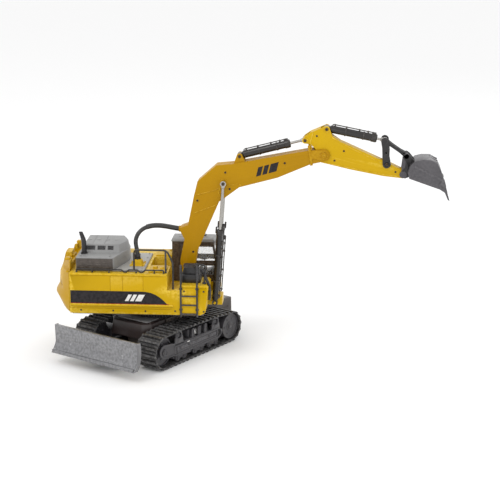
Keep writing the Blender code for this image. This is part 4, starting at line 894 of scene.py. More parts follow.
# the house shell: seams, ledge, stripe
house = {"ledge": (88.0, 91.8), "seams": (-63.6, -44.7, -13.0), "side": 75.0, "screws": (-110, -60, -10)}
shell = casting("body_shell")
seams = []
for s in (-1, 1):
    for x in house["seams"]:
        seams.append(boxAt((x - 0.28, x + 0.28), sideSpan(s, 74.35, 76), (112.5, 136)))
    seams.append(boxAt((-125, 18), sideSpan(s, 74.3, 76), (136.0, 136.5)))
    seams.append(boxAt((-128, 30 if s < 0 else 96), sideSpan(s, 74.0, 76), (84.0, 84.5)))
seams.append(boxAt((43, 84), (-76, -74.3), (119.0, 119.5)))
seams.append(boxAt((30, 92), (74.3, 76), (97.0, 97.5)))
shell = cutBy(rounded(shell, 1.3, 3, 50), *seams)
ledges = []
for s in (-1, 1):
    y0, y1 = sideSpan(s, 74.6, 77.6)
    reach = 33 if s < 0 else 92
    ledges.append(softBox((-126.6, reach), (y0, y1), house["ledge"], 1.5, 3))
    y0, y1 = sideSpan(s, 74.6, 75.7)
    ledges.append(softBox((-126.6, 23), (y0, y1), (137.2, 139.4), 0.5, 2))
steps = [softBox((-6, 21), (-66, -30), (139.6, 142.4), 1.1, 3),
         softBox((-1, 6), (-50, -42), (142, 145), 1.0, 3),
         softBox((10, 17), (-50, -42), (142, 144), 1.0, 3),
         softBox((-6, 21), (30, 66), (139.6, 142.4), 1.1, 3)]
steps += [studAt((x, y), 2.1, 139.6, 143.6, ((0.6, -0.8), (0.6, 0)), 20)
          for x, y in ((2, -60), (14, -60), (2, 60), (14, 60))]
put(joined(shell, ledges, steps), "house_shell", bodyYellow, "house", "body_shell")

stripe = {"low": 92.4, "high": 112.2, "left": -126.0, "right": 23.5, "thick": 0.25}
for word, s in (("near", -1), ("far", 1)):
    y0, y1 = sideSpan(s, 74.9, 75 + stripe["thick"])
    bend = [(23.0, 93.4), (18, 98.6), (12.6, 103.2), (6.4, 107.2), (-0.6, 110.2), (-8.6, 111.8), (-17, 112.2)]
    band = traced([(stripe["left"], stripe["low"]), (stripe["right"], stripe["low"])] + bend +
                  [(stripe["left"], stripe["high"])], y0, y1)
    put(band, "side_stripe_" + word, markBlack, "house")
    put(boxAt((stripe["left"], 26), (y0, y1), (91.5, 92.9)), "side_red_line_" + word, markRed, "house")
    y0, y1 = sideSpan(s, 75.1, 75.5)
    slantedBars((-28 if s < 0 else -44, 102.0), 0.0, 10.5, 5.6, 2.4, 3, y0, y1, houseSpace,
                "side_mark_" + word, "house", markWhite)
print("house shell ready")

# counterweight: a groove and vents in its rear face, lifting eyes and lugs on its shelf
tail = casting("counterweight")
grooves = [boxAt((-166, -142), (-60, 60), (114.0, 114.7)), boxAt((-147, -130), (-36, -12), (144, 160)),
           boxAt((-147, -130), (12, 36), (144, 160))]
vents = [boxAt((-166, -149), (y, y + 2.4), (122, 136)) for y in (-30, -24, -18, 16, 22, 28)]
tail = cutBy(rounded(tail, 1.2, 3, 42), *(grooves + vents))
extra = []
for s in (-1, 1):
    extra.append(softBox((-137, -128.5), sideSpan(s, 46, 57), (155, 158.4), 1.4, 3))
    extra.append(ring((-138, s * 4), 3.4, 1.1, 148.4, "z", 24))
    extra.append(studAt((-131, s * 69.5), 1.9, 139.4, 141.8, ((0.7, -0.8), (0.7, 0)), 20))
extra.append(softBox((-144, -130), (-10, 10), (147.2, 151), 1.4, 3))
# the counterweight takes the darker yellow, which is painted shade
put(joined(tail, extra), "tail_weight", tailShadeYellow, "house", "counterweight")

# engine hood: raised ridge with three grilles a side, dark side plates
hood = {"slope": ((-36, 161), (-28, 174)), "grilles": ((-108, -93), (-89.5, -77), (-73.5, -64.5))}
(lowY, lowZ), (highY, highZ) = hood["slope"]
slopeLength = math.hypot(highY - lowY, highZ - lowZ)
tilt = math.atan2(highZ - lowZ, highY - lowY)
slopeFrame = Matrix.Translation(Vector((0, lowY, lowZ)) * mm) @ Matrix.Rotation(tilt, 4, "X")


def onSlope(obj, side):
    obj.data.transform(slopeFrame)       # a part lying flat at z 0 goes onto the ridge's slope on that side
    if side < 0:
        return obj
    other = flipped(obj)
    bpy.data.objects.remove(obj)
    return other


hull = casting("engine_hood")
pockets, slats = [], []
for s in (-1, 1):
    for x0, x1 in hood["grilles"]:
        pockets.append(onSlope(boxAt((x0, x1), (6.0, slopeLength - 2.6), (-1.3, 3)), s))
        for k in range(4):
            v = 6.9 + (slopeLength - 10.4) * k / 3
            slat = softBox((x0 - 0.1, x1 + 0.1), (v - 0.5, v + 0.5), (-1.5, -0.15), 0.2, 1)
            slats.append(onSlope(slat, s))
for x in (-80, -98):
    pockets.append(boxAt((x - 0.3, x + 0.3), (-25, 25), (173.4, 175)))
hull = cutBy(rounded(hull, 0.8, 2, 40), *pockets)
extra = []
for s in (-1, 1):
    for x in (-112, -66):
        extra.append(studAt((x, s * 56), 1.8, 161.4, 162.9, ((0.5, -0.6), (0.6, 0)), 20))
for x in (-106, -92, -78, -64):
    extra.append(softBox((x - 3, x + 3), (-3, 3), (173.4, 174.7), 0.5, 2))
put(joined(hull, extra), "hood_shell", satinGrey, "house", "engine_hood")
put(joined(slats), "hood_grilles", mattBlack, "house")
for s in (-1, 1):
    y0, y1 = sideSpan(s, 63.6, 64.6)
    plate = softTrace([(-117.4, 141.4), (-61.4, 141.4), (-60.8, 143), (-60.8, 160.4), (-117.4, 160.4)], y0,
                      y1, 0.4, 2)
    bars = [softBox((x, x + 9), sideSpan(s, 64.4, 65.2), (z, z + 1.4), 0.3, 1)
            for x in (-112, -100, -88, -76) for z in (146, 150, 154)]
    put(joined(plate, bars), "hood_side_" + ("left" if s > 0 else "right"), hoodDark, "house")
deck = softBox((-58, -13), (-62.5, 38.5), (142.1, 143.0), 0.4, 2)
rivets = [studAt((x, y), 1.5, 142.6, 143.6, ((0.4, -0.4), (0.5, 0)), 16)
          for x, y in ((-17, -58), (-17, 34), (-50, -58), (-32, 10), (-17, 10))]
hole = boxAt((-37.5, -16.5), (-40.5, -19.5), (141, 145))
hoodNose = boxAt((-60, -43.7), (-12, 12), (141, 145))
noseCut = traced([(-61, -66), (-58.6, -66), (-43.6, -10.4), (-43.6, 10.4), (-58.6, 66), (-61, 66)], 141, 145,
                 "z")
put(joined(cutBy(deck, hole, noseCut, hoodNose), rivets), "deck_plate", paleGrey, "house")
print("hood ready")

# exhaust: foot ring, pipe, slanted cut mouth
stack = {"foot": (-109, -40), "flange": 5.6, "studs": 4.6,
         "rises": ((0.5, 0, 0.5), (1.0, 0, 0.4), (0, 0, 4.0), (0.3, 0, 0.4), (0, 0, 8.0), (0, 0, 1.0),
                   (0, -0.4, 5.0), (0, -1.2, 4.6), (0.3, -1.5, 4.4), (0.4, -1.4, 4.0))}
stackMesh = roundAt(stack["foot"], stack["flange"], 162.3, 163.6, "z", 28)
edit(stackMesh)
pick(stackMesh, lambda f: f.normal.z > 0.99)
for inset, dx, dz in stack["rises"]:
    if inset:
        bpy.ops.mesh.inset(thickness=inset * mm, depth=0)
    bpy.ops.mesh.extrude_region_move(TRANSFORM_OT_translate={"value": (dx * mm, 0, dz * mm)})
bpy.ops.mesh.inset(thickness=0.4 * mm, depth=0)
bpy.ops.mesh.extrude_region_move(TRANSFORM_OT_translate={"value": (1.6 * mm, 0, -3 * mm)})
done()
stackMesh = cleaned(stackMesh)
x, y = stack["foot"]
studs = [roundAt((x + stack["studs"] * math.cos(t), y + stack["studs"] * math.sin(t)), 0.6, 163.2, 164.3, "z",
                 6) for t in [math.tau * (k + 0.5) / 4 for k in range(4)]]
put(joined(stackMesh, studs), "exhaust_stack", mattBlack, "house", "exhaust_pipe")

# hose from the gland block to the boom's back bracket
hose = {"radius": 3.3, "sleeve": 4.0, "gland": (-27, -30), "bend": ((-27, -30, 166), (33, 0, 197)),
        "route": ((-27, -30, 152.3), (-27, -30, 160), (-28, -30, 167), (-29.4, -30, 174), (-29.8, -29.9, 180),
                  (-29, -29.5, 185), (-27, -28.4, 190), (-24, -27, 194.5), (-19, -24.2, 198.6),
                  (-13, -21, 201), (-6.5, -17.4, 202.2), (0, -14, 202), (7, -11, 201.2), (14, -7.8, 199.6),
                  (20, -5, 197.8), (28, -2.2, 195.6), (36.2, 0, 193.8))}
tube = joined(pipe(hose["route"], hose["radius"], sides=4, smooth=2),
              pipe(hose["route"][9:], hose["sleeve"], sides=4, smooth=2))
put(tube, "boom_hose_tube", hoseRubber, "house", "boom_hose", angle=60)
tube.parent = None
del tube["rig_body"]
start, end = (houseSpace @ (Vector(p) * mm) for p in hose["bend"])
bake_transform(tube)
gland = rounded(casting("hose_gland"), 1.2, 3)
gland = stepEnd(gland, (0, 0, 1), ((1.4, -0.5),))
x, y = hose["gland"]
feet = [studAt((x + a, y + b), 1.3, 142.6, 145.4, ((0.4, -0.4),), 16) for a in (-10, 10) for b in (-10, 10)]
flange = softBox((-38.4, -15.6), (-41.4, -18.6), (142.6, 143.8), 0.5, 2)
put(joined(gland, feet, flange), "gland_block", bodyYellow, "house", "hose_gland")
collar = [rounded(roundAt(hose["gland"], 5.6, 151.4, 154.0, "z", 6), 0.3, 1),
          rounded(roundAt(hose["gland"], 4.4, 153.8, 158.6, "z", 28), 0.5, 2),
          ring(hose["gland"], 3.9, 0.8, 159, "z")]
put(joined(collar), "hose_nut", mattBlack, "house")
print("hose ready")

# deck under the shell, board and slew motor inside
put(rounded(casting("house_deck"), 0.6, 1), "floor_plate", frameGrey, "house", "house_deck")
board = rounded(casting("circuit_board"), 0.3, 1)
put(board, "control_board", boardGreen, "house", "circuit_board")
motor = rounded(casting("slew_gearbox"), 0.8, 2)
fins = [ring((-30, 30), 13.0, 0.5, z, "z", 28) for z in (90, 96, 102, 108)]
put(joined(motor, fins), "slew_motor", frameGrey, "house", "slew_gearbox")

# cab: door seams, handles, window bars, roof cap and vent, seat with levers and a wheel rim
cab = casting("cab_shell")
cabPlan = {"near": (25, 27.2), "far": (69.3, 72), "seam": (31.6, 32.2), "sill": 104, "head": 162}
cuts = [boxAt(cabPlan["seam"], cabPlan["near"], (cabPlan["sill"], cabPlan["head"])),
        boxAt((32, 84), cabPlan["near"], (cabPlan["sill"], 104.6)),
        boxAt((32, 82), cabPlan["near"], (161.4, 162)),
        boxAt(cabPlan["seam"], cabPlan["far"], (cabPlan["sill"], cabPlan["head"])),
        boxAt((36, 84), cabPlan["far"], (106.4, 107.6))]
cab = rounded(cutBy(cab, *cuts), 0.9, 2, 45)
trim = []
for y in (26.5, 70.0):
    s = -1 if y < 50 else 1
    trim.append(softBox((36, 88), sorted((y, y + s * 0.7)), (129.8, 132.2), 0.4, 2))
    trim.append(softBox((33.4, 37), sorted((y, y + s * 1.6)), (126, 129), 0.5, 2))
trim.append(softBox((24, 92.6), (28, 68.4), (101.4, 103.4), 0.6, 2))
put(joined(cab, trim), "cab_frame", darkBrown, "house", "cab_shell")
roof = casting("cab_roof")
roofCuts = [boxAt((26, 80), (y, y + 0.7), (169.7, 172)) for y in (36, 54)]
roof = cutBy(roof, *roofCuts)
cap = softBox((30, 76), (39, 51.6), (169.9, 170.9), 0.4, 2)
put(joined(rounded(roof, 0.3, 1), cap), "cab_roof_cover", satinGrey, "house", "cab_roof")
vent = softBox((57, 73), (44, 56), (170.0, 171.9), 0.6, 2)
louvres = [softBox((x, x + 1.6), (45, 55), (171.6, 172.4), 0.3, 1) for x in (59, 62.6, 66.2, 69.8)]
put(joined(vent, louvres), "cab_vent", mattBlack, "house")
seat = rounded(casting("driver_seat"), 0.8, 2)
sides = [softTrace([(37, 105), (60, 105), (61, 116), (46, 117), (43, 138), (37, 138)], *span, 1.4, 3)
         for span in ((37.4, 40), (56, 58.6))]
levers = [pipe([(66, y, 103.2), (66.4, y, 112), (64.6, y, 119)], 0.8) for y in (41, 55)]
knobs = [rounded(roundAt((64.4, y), 1.7, 118.6, 122.4, "z", 16), 0.7, 2) for y in (41, 55)]
wheelRim = ring((69, 45), 5.6, 0.75, 134, "z", 36)
column = [pipe([(74, 45, 110), (72, 45, 124), (69, 45, 134)], 0.9),
          pipe([(63.6, 45, 134), (74.4, 45, 134)], 0.5),
          softTrace([(60, 103.6), (84, 103.6), (84, 118), (72, 113), (60, 108)], 34, 62, 1.4, 2)]
put(joined(seat, sides, levers, knobs, wheelRim, column), "cab_seat", mattBlack, "house", "driver_seat")
print("cab ready")

# rails and ladder
rail = {"y": -70, "low": 140.3, "top": 145.1, "dip": 141.8, "radius": 1.25}
line = [(-116.4, rail["low"]), (-116.4, 144.2), (-115.6, rail["top"]), (-47, rail["top"]), (-43, rail["dip"]),
        (-39, rail["dip"]), (-35, rail["top"]), (-22, rail["top"]), (-18, rail["dip"]), (-14, rail["dip"]),
        (-10, rail["top"]), (17.4, rail["top"]), (18.2, 144.2), (18.2, rail["low"])]
line = [(x, rail["y"], z) for x, z in line]
posts = [pipe([(x, rail["y"], rail["low"]), (x, rail["y"], 145)], 1.1) for x in (-92, -66, -24, 4)]
feet = [rounded(roundAt((x, rail["y"]), 1.7, 140.2, 141.0, "z", 16), 0.25, 1)
        for x in (-116.4, -92, -66, -24, 4, 18.2)]
put(joined(pipe(line, rail["radius"]), posts, feet), "side_rail_bar", mattBlack, "house", "side_rail")
y = -66.5
line = [(-29, y + 9, 141), (-28.4, y + 7, 168), (-27, y + 5, 173), (-24, y + 2, 175.2), (-19, y, 176),
        (17, y, 176), (21.4, y, 175.2), (24.6, y, 172.6), (28.4, y, 165), (31.6, y, 157), (32.2, y, 153),
        (32.2, y, 114.8)]
posts = [pipe([(21.2, y, 140.4), (21.2, y, 175.4)], 1.45)]
feet = [rounded(roundAt((x, y), 1.9, z, z + 0.9, "z", 16), 0.25, 1)
        for x, z in ((21.2, 140.2), (32.2, 114.6))]
put(joined(pipe(line, 1.5), posts, feet), "upper_rail_bar", mattBlack, "house", "upper_rail")
stiles = [pipe([(x, -76.5, 73.4), (x, -76.5, 146), (x, -76.3, 151), (x, -74.6, 153.4), (x, -71.6, 153.8),
                (x, -68.4, 151.4), (x, -67.6, 147), (x, -67.6, 123.2)], 1.5, 3) for x in (45, 70)]
rungs = [softBox((45, 70), (-77.7, -75.4), (z - 1.1, z + 1.1), 0.4, 1) for z in (78, 92.3, 106.6)]
pads = [softBox((x - 2.6, x + 2.6), (-76.2, -75.0), (z - 1.6, z + 1.6), 0.4, 1) for x in (45, 70)
        for z in (85, 118)]
put(joined(stiles, rungs, pads), "ladder_bars", mattBlack, "house", "ladder")
print("rails and ladder ready")

# black cover behind the ladder, its grab loop and the cable strip down the front box
cover = softBox((43.5, 74), (-60, -28), (122.8, 136), 1.6, 3)
coverTop = softTrace([(45, 135), (72, 135), (68, 147), (48, 147)], -56, -30, 1.4, 3)
ventLines = [softBox((46, 70), (y, y + 1.8), (146.6, 147.7), 0.4, 1) for y in (-52, -47, -42, -37)]
put(joined(cover, coverTop, ventLines), "step_cover", mattBlack, "house")
strip = softBox((77, 83), (-66, -60), (122.6, 125.4), 0.8, 2)
loop = pipe([(80, -63, 124), (80.4, -63, 136), (83, -62, 147), (80, -60, 152.5), (72, -58, 153),
             (66, -56, 150), (64, -54, 144)], 1.5, 3, 1)
fall = pipe([(74, -58, 146), (79, -61, 140), (83.6, -63, 130), (88.0, -64, 121), (88.6, -64, 110),
             (87.6, -64, 98)], 2.3, 3, 1)
clip = [softBox((86.2, 89.6), (-66.4, -61.6), (z, z + 2.4), 0.5, 1) for z in (114, 102)]
put(joined(strip, loop, fall, clip), "front_cable", mattBlack, "house")
foot = [(x, 81) for x in house["screws"]]
screws = joined(screwsAt([(50, 114), (80, 114), (36, 82), (80, 82)], -house["side"]),
                screwsAt(foot, -house["side"]), screwsAt(foot + [(40, 81), (88, 81)], house["side"]))
put(screws, "house_screws", screwSteel, "house")

# the boom's bracket on the house; places on the boom are (x, z) in house space
boomPlan = {"face": 12.0, "foot": (48, 126), "armPin": (259.5, 316), "liftEye": (105.9, 270.7), "liftY": 17.8,
            "armFoot": (130.4, 312), "screws": ((108.7, 287.1), (115.4, 261.1), (65.2, 242.1), (58, 160),
                                                (200, 303))}
mount = rounded(casting("boom_mount"), 0.9, 2)
webs = [softTrace([(38, 84), (58, 84), (52, 104), (44, 104)], *sideSpan(s, 15.4, 17.2), 0.5, 2)
        for s in (-1, 1)]
bosses = [bossAt(boomPlan["foot"], 7.2, *sideSpan(s, 12.8, 16.6), ((1.2, -0.4),), 32) for s in (-1, 1)]
tool = through(boomPlan["foot"], 3.3, 40, 32)
bosses = cutBy(joined(bosses), tool)
put(joined(mount, webs, rounded(bosses, 0.4, 2)), "boom_bracket", bodyYellow, "house", "boom_mount")
pin = bossAt(boomPlan["foot"], 4.6, -17.8, 17.8, ((0.6, 0.3), (1.4, -0.5)), 6)
put(rounded(pin, 0.3, 2), "boom_foot_bolt", screwSteel, "house", "boom_foot_pin")
print("bracket ready")


# boom: two shells with a seam, screws, raised ribs and a plain mark

def hexHead(centre, face, across, rise):
    low, high = sorted((face - math.copysign(0.6, face), face + math.copysign(rise, face)))
    way = (0, 1, 0) if face > 0 else (0, -1, 0)
    return rounded(stepEnd(roundAt(centre, across, low, high, sides=6), way,
                           ((across * 0.25, 0.2), (across * 0.2, -0.3))), 0.15, 1)


for side, s in (("left", 1), ("right", -1)):
    shell = rounded(casting("boom_shell_" + side), 1.1, 3, 42)
    rings = []
    for spot in boomPlan["screws"]:
        rings.append(ring(spot, 2.3, 0.45, s * boomPlan["face"], sides=24))
    px, pz = boomPlan["armPin"]
    cheek = [(px - 22, pz - 5.4), (px - 4, pz - 7.4)] + arcOf((px, pz), 7.6, -60, 95,
                                                              12) + [(px - 22, pz + 6.6)]
    pad = softTrace(cheek, *sideSpan(s, 11.2, 12.9), 0.5, 2)
    web = softTrace([(px - 21, pz + 16.5), (px - 24.6, pz + 14.5), (px - 20.4, pz - 16.5),
                     (px - 16.2, pz - 15.5)], *sideSpan(s, 11.0, 13.3), 0.7, 2)
    footPad = roundAt(boomPlan["foot"], 8.4, *sideSpan(s, 11.5, 12.5), sides=40)
    footPad = cutBy(footPad, through(boomPlan["foot"], 3.4, 20, 32))
    eye = bossAt(boomPlan["liftEye"], 5.4, *sideSpan(s, 11.6, 13.2), ((1.2, -0.4),), 32)
    pad = cutBy(pad, through(boomPlan["armPin"], 3.0, 20, 32))
    put(joined(shell, rings, pad, web, footPad, eye), "boom_side_" + side, boomYellow, "boom",
        "boom_shell_" + side)
    lines = [pipe([(x, s * 12.1, z) for x, z in path], 0.55, 1)
             for path in (((62.4, 250.5), (80, 255.5), (92, 258.6), (97.5, 262), (104, 265.4), (128.3, 269.5),
                           (133, 267)), ((58.4, 221.6), (76, 228.6), (94.8, 235.6)),
                          ((101, 266), (98, 254), (104, 250)))]
    put(joined(lines), "boom_ribs_" + side, boomYellow, "boom")
    y0, y1 = sideSpan(s, 11.9, 12.3)
    slantedBars((171, 292.4), math.radians(16), 13.0, 7.4, 2.6, 3, y0, y1, houseSpace,
                "boom_mark_" + side, "boom", markBlack)
heads = screwsAt(boomPlan["screws"], -boomPlan["face"], 1.7, 0.25)
put(joined(heads, screwsAt(boomPlan["screws"], boomPlan["face"], 1.7, 0.25)), "boom_screws", screwSteel,
    "boom")
seam = [roundAt((168.9, 300.1), 1.5, *sideSpan(s, 11.6, 12.15), sides=20) for s in (-1, 1)]
put(joined([stepEnd(m, (0, s, 0), ((0.4, -0.3),)) for m, s in zip(seam, (-1, 1))]), "boom_plugs", boomYellow,
    "boom")
bracket = softTrace([(37.2, 190.6), (37.2, 197.8), (50, 202.6), (52, 188)], -8, 8, 1.0, 3)
bracket = joined(bracket, [softBox((38.4, 47), sideSpan(s, 7.6, 9.4), (190.6, 197.4), 0.6, 2)
                           for s in (-1, 1)], rounded(roundAt((0, 193.8), 4.8, 34.6, 38.4, "x", 28), 0.6, 2))
put(bracket, "boom_hose_bracket", boomYellow, "boom")
pin = joined(bossAt(boomPlan["armPin"], 5.9, -13.3, 13.3, ((0.8, -0.5), (0.3, 0)), 40),
             [hexHead(boomPlan["armPin"], s * 13.2, 4.7, 1.6) for s in (-1, 1)],
             bossAt(boomPlan["armPin"], 2.0, -15.1, 15.1, ((0.6, -0.4),), 28))
put(rounded(pin, 0.25, 1), "arm_pivot_bolt", boomYellow, "boom", "arm_pin")
lugs = [bossAt(boomPlan["armFoot"], 4.4, *sideSpan(s, 6.2, 9.4), ((1.0, -0.3),), 28) for s in (-1, 1)]
put(joined(lugs), "arm_cylinder_lugs", boomYellow, "boom")
heads = [hexHead(boomPlan["armFoot"], s * 9.6, 2.5, 0.9) for s in (-1, 1)]
heads += [hexHead(boomPlan["liftEye"], s * 22.0, 2.7, 1.0) for s in (-1, 1)]
put(joined(heads), "boom_pin_heads", screwSteel, "boom")
print("boom ready")

# arm
armPlan = {"face": 9.4, "peak": (263.5, 356), "horn": (230.7, 338), "rocker": (355.5, 303.4),
           "bucketPin": (380.6, 287.5), "linkPin": (385.3, 316.2),
           "screws": ((290.1, 322.6), (276, 307.6), (369.2, 291.3), (248.6, 345.4))}
for side, s in (("left", 1), ("right", -1)):
    shell = rounded(casting("arm_shell_" + side), 0.9, 3, 42)
    extra = [pipe([(x, s * 9.5, z) for x, z in path], 0.6, 1)
             for path in (((243, 350.6), (238.6, 336), (241.4, 322)),
                          ((271.5, 343.5), (300, 327.6), (344, 306.6), (362, 298.6)),
                          ((262, 303.6), (301, 296.4), (350, 287.4), (372, 284.6)))]
    extra += [ring(spot, 2.0, 0.4, s * armPlan["face"], sides=24) for spot in armPlan["screws"]]
    extra.append(bossAt(armPlan["peak"], 4.7, *sideSpan(s, 8.8, 10.4), ((1.1, -0.4),), 28))
    extra.append(bossAt(armPlan["horn"], 4.5, *sideSpan(s, 8.8, 10.2), ((1.1, -0.4),), 28))
    boss = bossAt(armPlan["bucketPin"], 5.4, *sideSpan(s, 9.0, 9.7), ((0.8, 0),), 32)
    extra.append(cutBy(boss, through(armPlan["bucketPin"], 2.4, 20, 24)))
    put(joined(shell, extra), "arm_side_" + side, bodyYellow, "arm", "arm_shell_" + side)
put(joined(screwsAt(armPlan["screws"], -armPlan["face"], 1.5, 0.25),
           screwsAt(armPlan["screws"], armPlan["face"], 1.5, 0.25)), "arm_screws", screwSteel, "arm")
heads = [hexHead(armPlan[key], s * rise, size, 0.9) for s in (-1, 1)
         for key, rise, size in (("peak", 10.5, 2.6), ("horn", 10.3, 2.5), ("rocker", 12.8, 2.5))]
put(joined(heads), "arm_pin_heads", screwSteel, "arm")
pin = joined(bossAt(armPlan["bucketPin"], 3.4, -13.4, 13.4, ((0.8, -0.4), (0.8, 0)), 32))
put(rounded(pin, 0.3, 2), "bucket_pivot_pin", bucketGrey, "arm", "bucket_pin")
print("arm ready")

# bucket: curved back, side cutters, ears and teeth
scoop = rounded(casting("bucket"), 0.6, 2, 45)
extra, ears = [], []
for s in (-1, 1):
    y0, y1 = sideSpan(s, 23.6, 24.7)
    extra.append(softTrace([(396, 302.6), (398, 305), (443.6, 282.4), (445.2, 277)], y0, y1, 0.3, 2))
    y0, y1 = sideSpan(s, 23.6, 25.0)
    cutter = traced([(440.6, 284), (445, 275.6), (448.4, 263.4), (444.6, 262.8), (436.4, 268.4),
                     (434.6, 275)], y0, y1)
    extra.append(rounded(cutter, 0.4, 2))
    extra.append(ring((439.8, 271.6), 1.5, 0.4, s * 25.0, sides=20))
    y0, y1 = sideSpan(s, 12.4, 9.4)
    ear = traced([(378, 283.4), (384, 281.8), (394.6, 286), (392.6, 292), (394, 302), (397.6, 309.4),
                  (390.4, 318), (386, 320.4), (381.6, 318.6), (380.8, 314), (384.4, 308), (383.6, 299),
                  (377.4, 292.4)], y0, y1)
    ear = cutBy(ear, through(armPlan["bucketPin"], 2.5, 30, 24), through(armPlan["linkPin"], 3.5, 30, 24))
    ears.append(rounded(ear, 0.5, 2))
    extra.append(bothEnds(cutBy(roundAt(armPlan["bucketPin"], 5.2, *sideSpan(s, 9.9, 12.7), sides=32),
                                through(armPlan["bucketPin"], 2.5, 30, 24)), "y", ((0.6, 0),)))
for y in (-20.5, -10.25, 0, 10.25, 20.5):
    extra.append(softBox((442.6, 446.2), (y - 3.3, y + 3.3), (266.5, 274.5), 0.9, 2))
put(joined(scoop, extra), "bucket_scoop", bucketGrey, "bucket", "bucket", angle=40)
put(joined(ears), "bucket_ears", mattBlack, "bucket")
wear = [softTrace([(421, 313.2), (421, 314.1), (433.4, 308.6), (432.6, 307.8)], y - 2.4, y + 2.4, 0.3, 1)
        for y in (-16, 0, 16)]
put(joined(wear), "bucket_wear_bars", bucketGrey, "bucket")
print("bucket ready")


# cylinders: drawn lying along X from the pin, then turned to their place
def laidFrame(base, tip, y):
    lean = math.atan2(tip[1] - base[1], tip[0] - base[0])
    return shift(base[0], y, base[1]) @ Matrix.Rotation(-lean, 4, "Y")


def turnedBar(steps, sides=32):
    start, size = steps[0]         # each step is (x, radius) along the bar
    bar = roundAt((0, 0), size, start, start + 0.5, "x", sides)
    edit(bar)
    pick(bar, lambda f: f.normal.x > 0.99)
    here = start + 0.5
    for x, r in steps[1:]:
        bpy.ops.mesh.extrude_region_move(TRANSFORM_OT_translate={"value": ((x - here) * mm, 0, 0)})
        bpy.ops.transform.resize(value=(1, r / size, r / size), center_override=(x * mm, 0, 0))
        here, size = x, r
    done()
    return cleaned(bar)


def barrelAlong(length, r, bore, eyeHalf, pipeSide, collars, drop=2.2):
    tube = turnedBar([(3.0, r * 0.62), (4.6, r * 0.8), (6.4, r), (length - 9, r), (length - 8.6, r + 0.7),
                      (length - 1.4, r + 0.7), (length - 0.6, r + 0.1), (length, r - 0.2)])
    tube = cutBy(tube, roundAt((0, 0), bore, 11, length + 3, "x", 32))
    tube = rounded(tube, 0.25, 2, 40)
    eye = cutBy(bossAt((0, 0), 4.5, -eyeHalf, eyeHalf, ((0.7, -0.2),), 32),
                through((0, 0), 2.3, 30, 24))
    parts = [tube, eye]
    for x in collars:
        parts.append(rounded(cutBy(roundAt((0, 0), r + 0.7, x, x + 2.2, "x", 32),
                                   roundAt((0, 0), r - 0.3, x - 3, x + 6, "x", 32)), 0.25, 1))
    for y, z in pipeSide:
        d = math.hypot(y, z)
        uy, uz = y / d, z / d
        run = r + 2.0
        parts.append(pipe([(8, uy * (r - 0.4), uz * (r - 0.4)), (8.4, uy * (run - 0.5), uz * (run - 0.5)),
                           (10, uy * run, uz * run), (length - drop - 6, uy * run, uz * run),
                           (length - drop - 4.4, uy * (run - 0.5), uz * (run - 0.5)),
                           (length - drop - 4, uy * (r - 0.4), uz * (r - 0.4))], 0.85, 2))
        for x in (10.5, length * 0.36, length * 0.62, length - drop - 14):
            clamp = boxAt((x, x + 2.6), (-1.7, 1.7), (r - 0.6, r + 3.1))
            clamp.data.transform(Matrix.Rotation(-math.atan2(uy, uz), 4, "X"))
            parts.append(rounded(clamp, 0.4, 1))
        block = boxAt((length - drop - 6.6, length - drop), (-2.6, 2.6), (r - 0.6, r + 2.8))
        block.data.transform(Matrix.Rotation(-math.atan2(uy, uz), 4, "X"))
        parts.append(rounded(block, 0.6, 2))
    return joined(parts)


def rodAlong(inside, radius, eyeHalf):
    bar = turnedBar([(3.0, radius), (inside - 0.6, radius), (inside, radius * 0.8)], 28)
    eye = cutBy(bossAt((0, 0), 4.4, -eyeHalf, eyeHalf, ((0.6, -0.2),), 32),
                through((0, 0), 2.3, 30, 24))
    sleeve = turnedBar([(2.8, radius + 1.0), (6.6, radius + 1.0), (7.2, radius + 0.3)], 28)
    return joined(bar, sleeve, eye)


pins = {"liftFoot": (92, 80), "liftEye": boomPlan["liftEye"], "armFoot": boomPlan["armFoot"],
        "horn": armPlan["horn"], "digFoot": armPlan["peak"], "rockerTop": (352.4, 338.6),
        "linkPin": armPlan["linkPin"]}
for side, s in (("left", 1), ("right", -1)):
    tube = barrelAlong(118, 5.0, 4.2, 3.0, ((s * 0.25, -1.0),), (34, 76), 18)
    prongs = [softBox((112, 122.5), (y - 0.9, y + 0.9), (z - 1.4, z + 1.4), 0.4, 2)
              for y, z in ((0, 5.6), (0, -5.6))]
    tube = joined(tube, prongs)
    put(tube, "lift_barrel_" + side, glossBlack, "boom_cylinder_" + side, "boom_cylinder_" + side,
        houseSpace @ laidFrame(pins["liftFoot"], pins["liftEye"], s * boomPlan["liftY"]))
    put(rodAlong(106, 2.2, 3.0), "lift_rod_" + side, chrome, "boom_rod_" + side, "boom_rod_" + side,
        houseSpace @ laidFrame(pins["liftEye"], pins["liftFoot"], s * boomPlan["liftY"]))
put(barrelAlong(80, 5.9, 5.3, 4.6, ((0.0, 1.0),), (30, 58)), "arm_barrel", glossBlack, "arm_cylinder",
    "arm_cylinder", houseSpace @ laidFrame(pins["armFoot"], pins["horn"], 0))
put(rodAlong(72, 2.0, 3.0), "arm_piston_rod", chrome, "arm_rod", "arm_rod",
    houseSpace @ laidFrame(pins["horn"], pins["armFoot"], 0))
put(barrelAlong(78, 5.9, 5.3, 4.6, ((0.0, 1.0),), (28, 56)), "bucket_barrel", glossBlack, "bucket_cylinder",
    "bucket_cylinder", houseSpace @ laidFrame(pins["digFoot"], pins["rockerTop"], 0))
put(rodAlong(74, 2.0, 3.0), "bucket_piston_rod", chrome, "bucket_rod", "bucket_rod",
    houseSpace @ laidFrame(pins["rockerTop"], pins["digFoot"], 0))
print("cylinders ready")


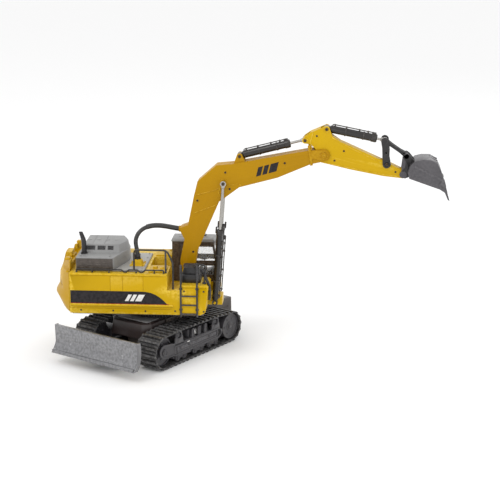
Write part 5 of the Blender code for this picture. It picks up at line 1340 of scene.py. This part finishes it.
# rocker plates and push link
def rockerPlates():
    base, top = armPlan["rocker"], pins["rockerTop"]
    lean = math.degrees(math.atan2(top[1] - base[1], top[0] - base[0]))
    middle = ((base[0] + top[0]) / 2 + 0.6, (base[1] + top[1]) / 2)
    x, z = middle
    line = arcOf(base, 6.3, lean + 90, lean + 270, 12) + [(x + 5.0, z - 6), (x + 5.2, z + 6)] + \
        arcOf(top, 6.1, lean - 90, lean + 90, 12) + [(x - 6.2, z + 6), (x - 5.6, z - 6)]
    parts = []
    for s in (-1, 1):
        plate = traced(line, *sideSpan(s, 9.9, 11.9))
        plate = cutBy(plate, through(base, 2.3, 30, 24), through((x - 0.4, z), 2.2, 30, 24))
        parts.append(rounded(plate, 0.45, 2))
        parts.append(cutBy(ring(base, 4.3, 0.9, s * 11.9, sides=28), through(base, 2.3, 30, 24)))
        parts.append(bossAt(top, 4.4, *sideSpan(s, 9.9, 12.6), ((0.8, -0.3), (0.8, 0)), 28))
        parts.append(ring((x - 0.4, z), 2.6, 0.5, s * 11.8, sides=24))
    parts.append(roundAt(top, 2.0, -11, 11, sides=24))
    return joined(parts)


def pushLink():
    a, b = pins["rockerTop"], pins["linkPin"]
    lean = math.degrees(math.atan2(b[1] - a[1], b[0] - a[0]))
    u = (math.cos(math.radians(lean)), math.sin(math.radians(lean)))
    n = (-u[1], u[0])
    reach = math.hypot(b[0] - a[0], b[1] - a[1])

    def spot(t, w):
        return (a[0] + u[0] * t + n[0] * w, a[1] + u[1] * t + n[1] * w)
    line = arcOf(a, 3.9, lean + 90, lean + 270, 10) + [spot(reach * 0.3, -2.6), spot(reach * 0.7, -2.6)] + \
        arcOf(b, 3.9, lean - 90, lean + 90, 10) + [spot(reach * 0.7, 2.6), spot(reach * 0.3, 2.6)]
    parts = []
    for s in (-1, 1):
        bar = cutBy(traced(line, *sideSpan(s, 3.6, 6.0)), through(a, 2.3, 30, 24))
        parts.append(rounded(bar, 0.5, 2))
        parts.append(ring(b, 3.1, 0.7, s * 6.0, sides=24))
    parts.append(bossAt(b, 3.2, -9.3, 9.3, ((0.7, -0.3), (0.7, 0)), 28))
    cross = spot(reach * 0.5, 0)
    parts.append(roundAt(cross, 1.5, -4, 4, sides=20))
    return joined(parts)


put(rockerPlates(), "rocker_plates", mattBlack, "rocker", "rocker")
put(pushLink(), "push_link_bars", mattBlack, "push_link", "push_link")
print("linkage ready")
for name, node in frame["nodes"].items():
    if not node.hide_render:
        print("still CAD:", name)
        tint = {"yellow": bodyYellow, "boom_yellow": boomYellow, "grey": satinGrey, "silver": silverPaint,
                "steel": chrome, "clear": paneClear, "board": boardGreen, "dark": frameGrey}.get(slotOf[name],
                                                                                                 mattBlack)
        for i in range(len(node.data.materials)):
            node.data.materials[i] = tint
low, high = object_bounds()
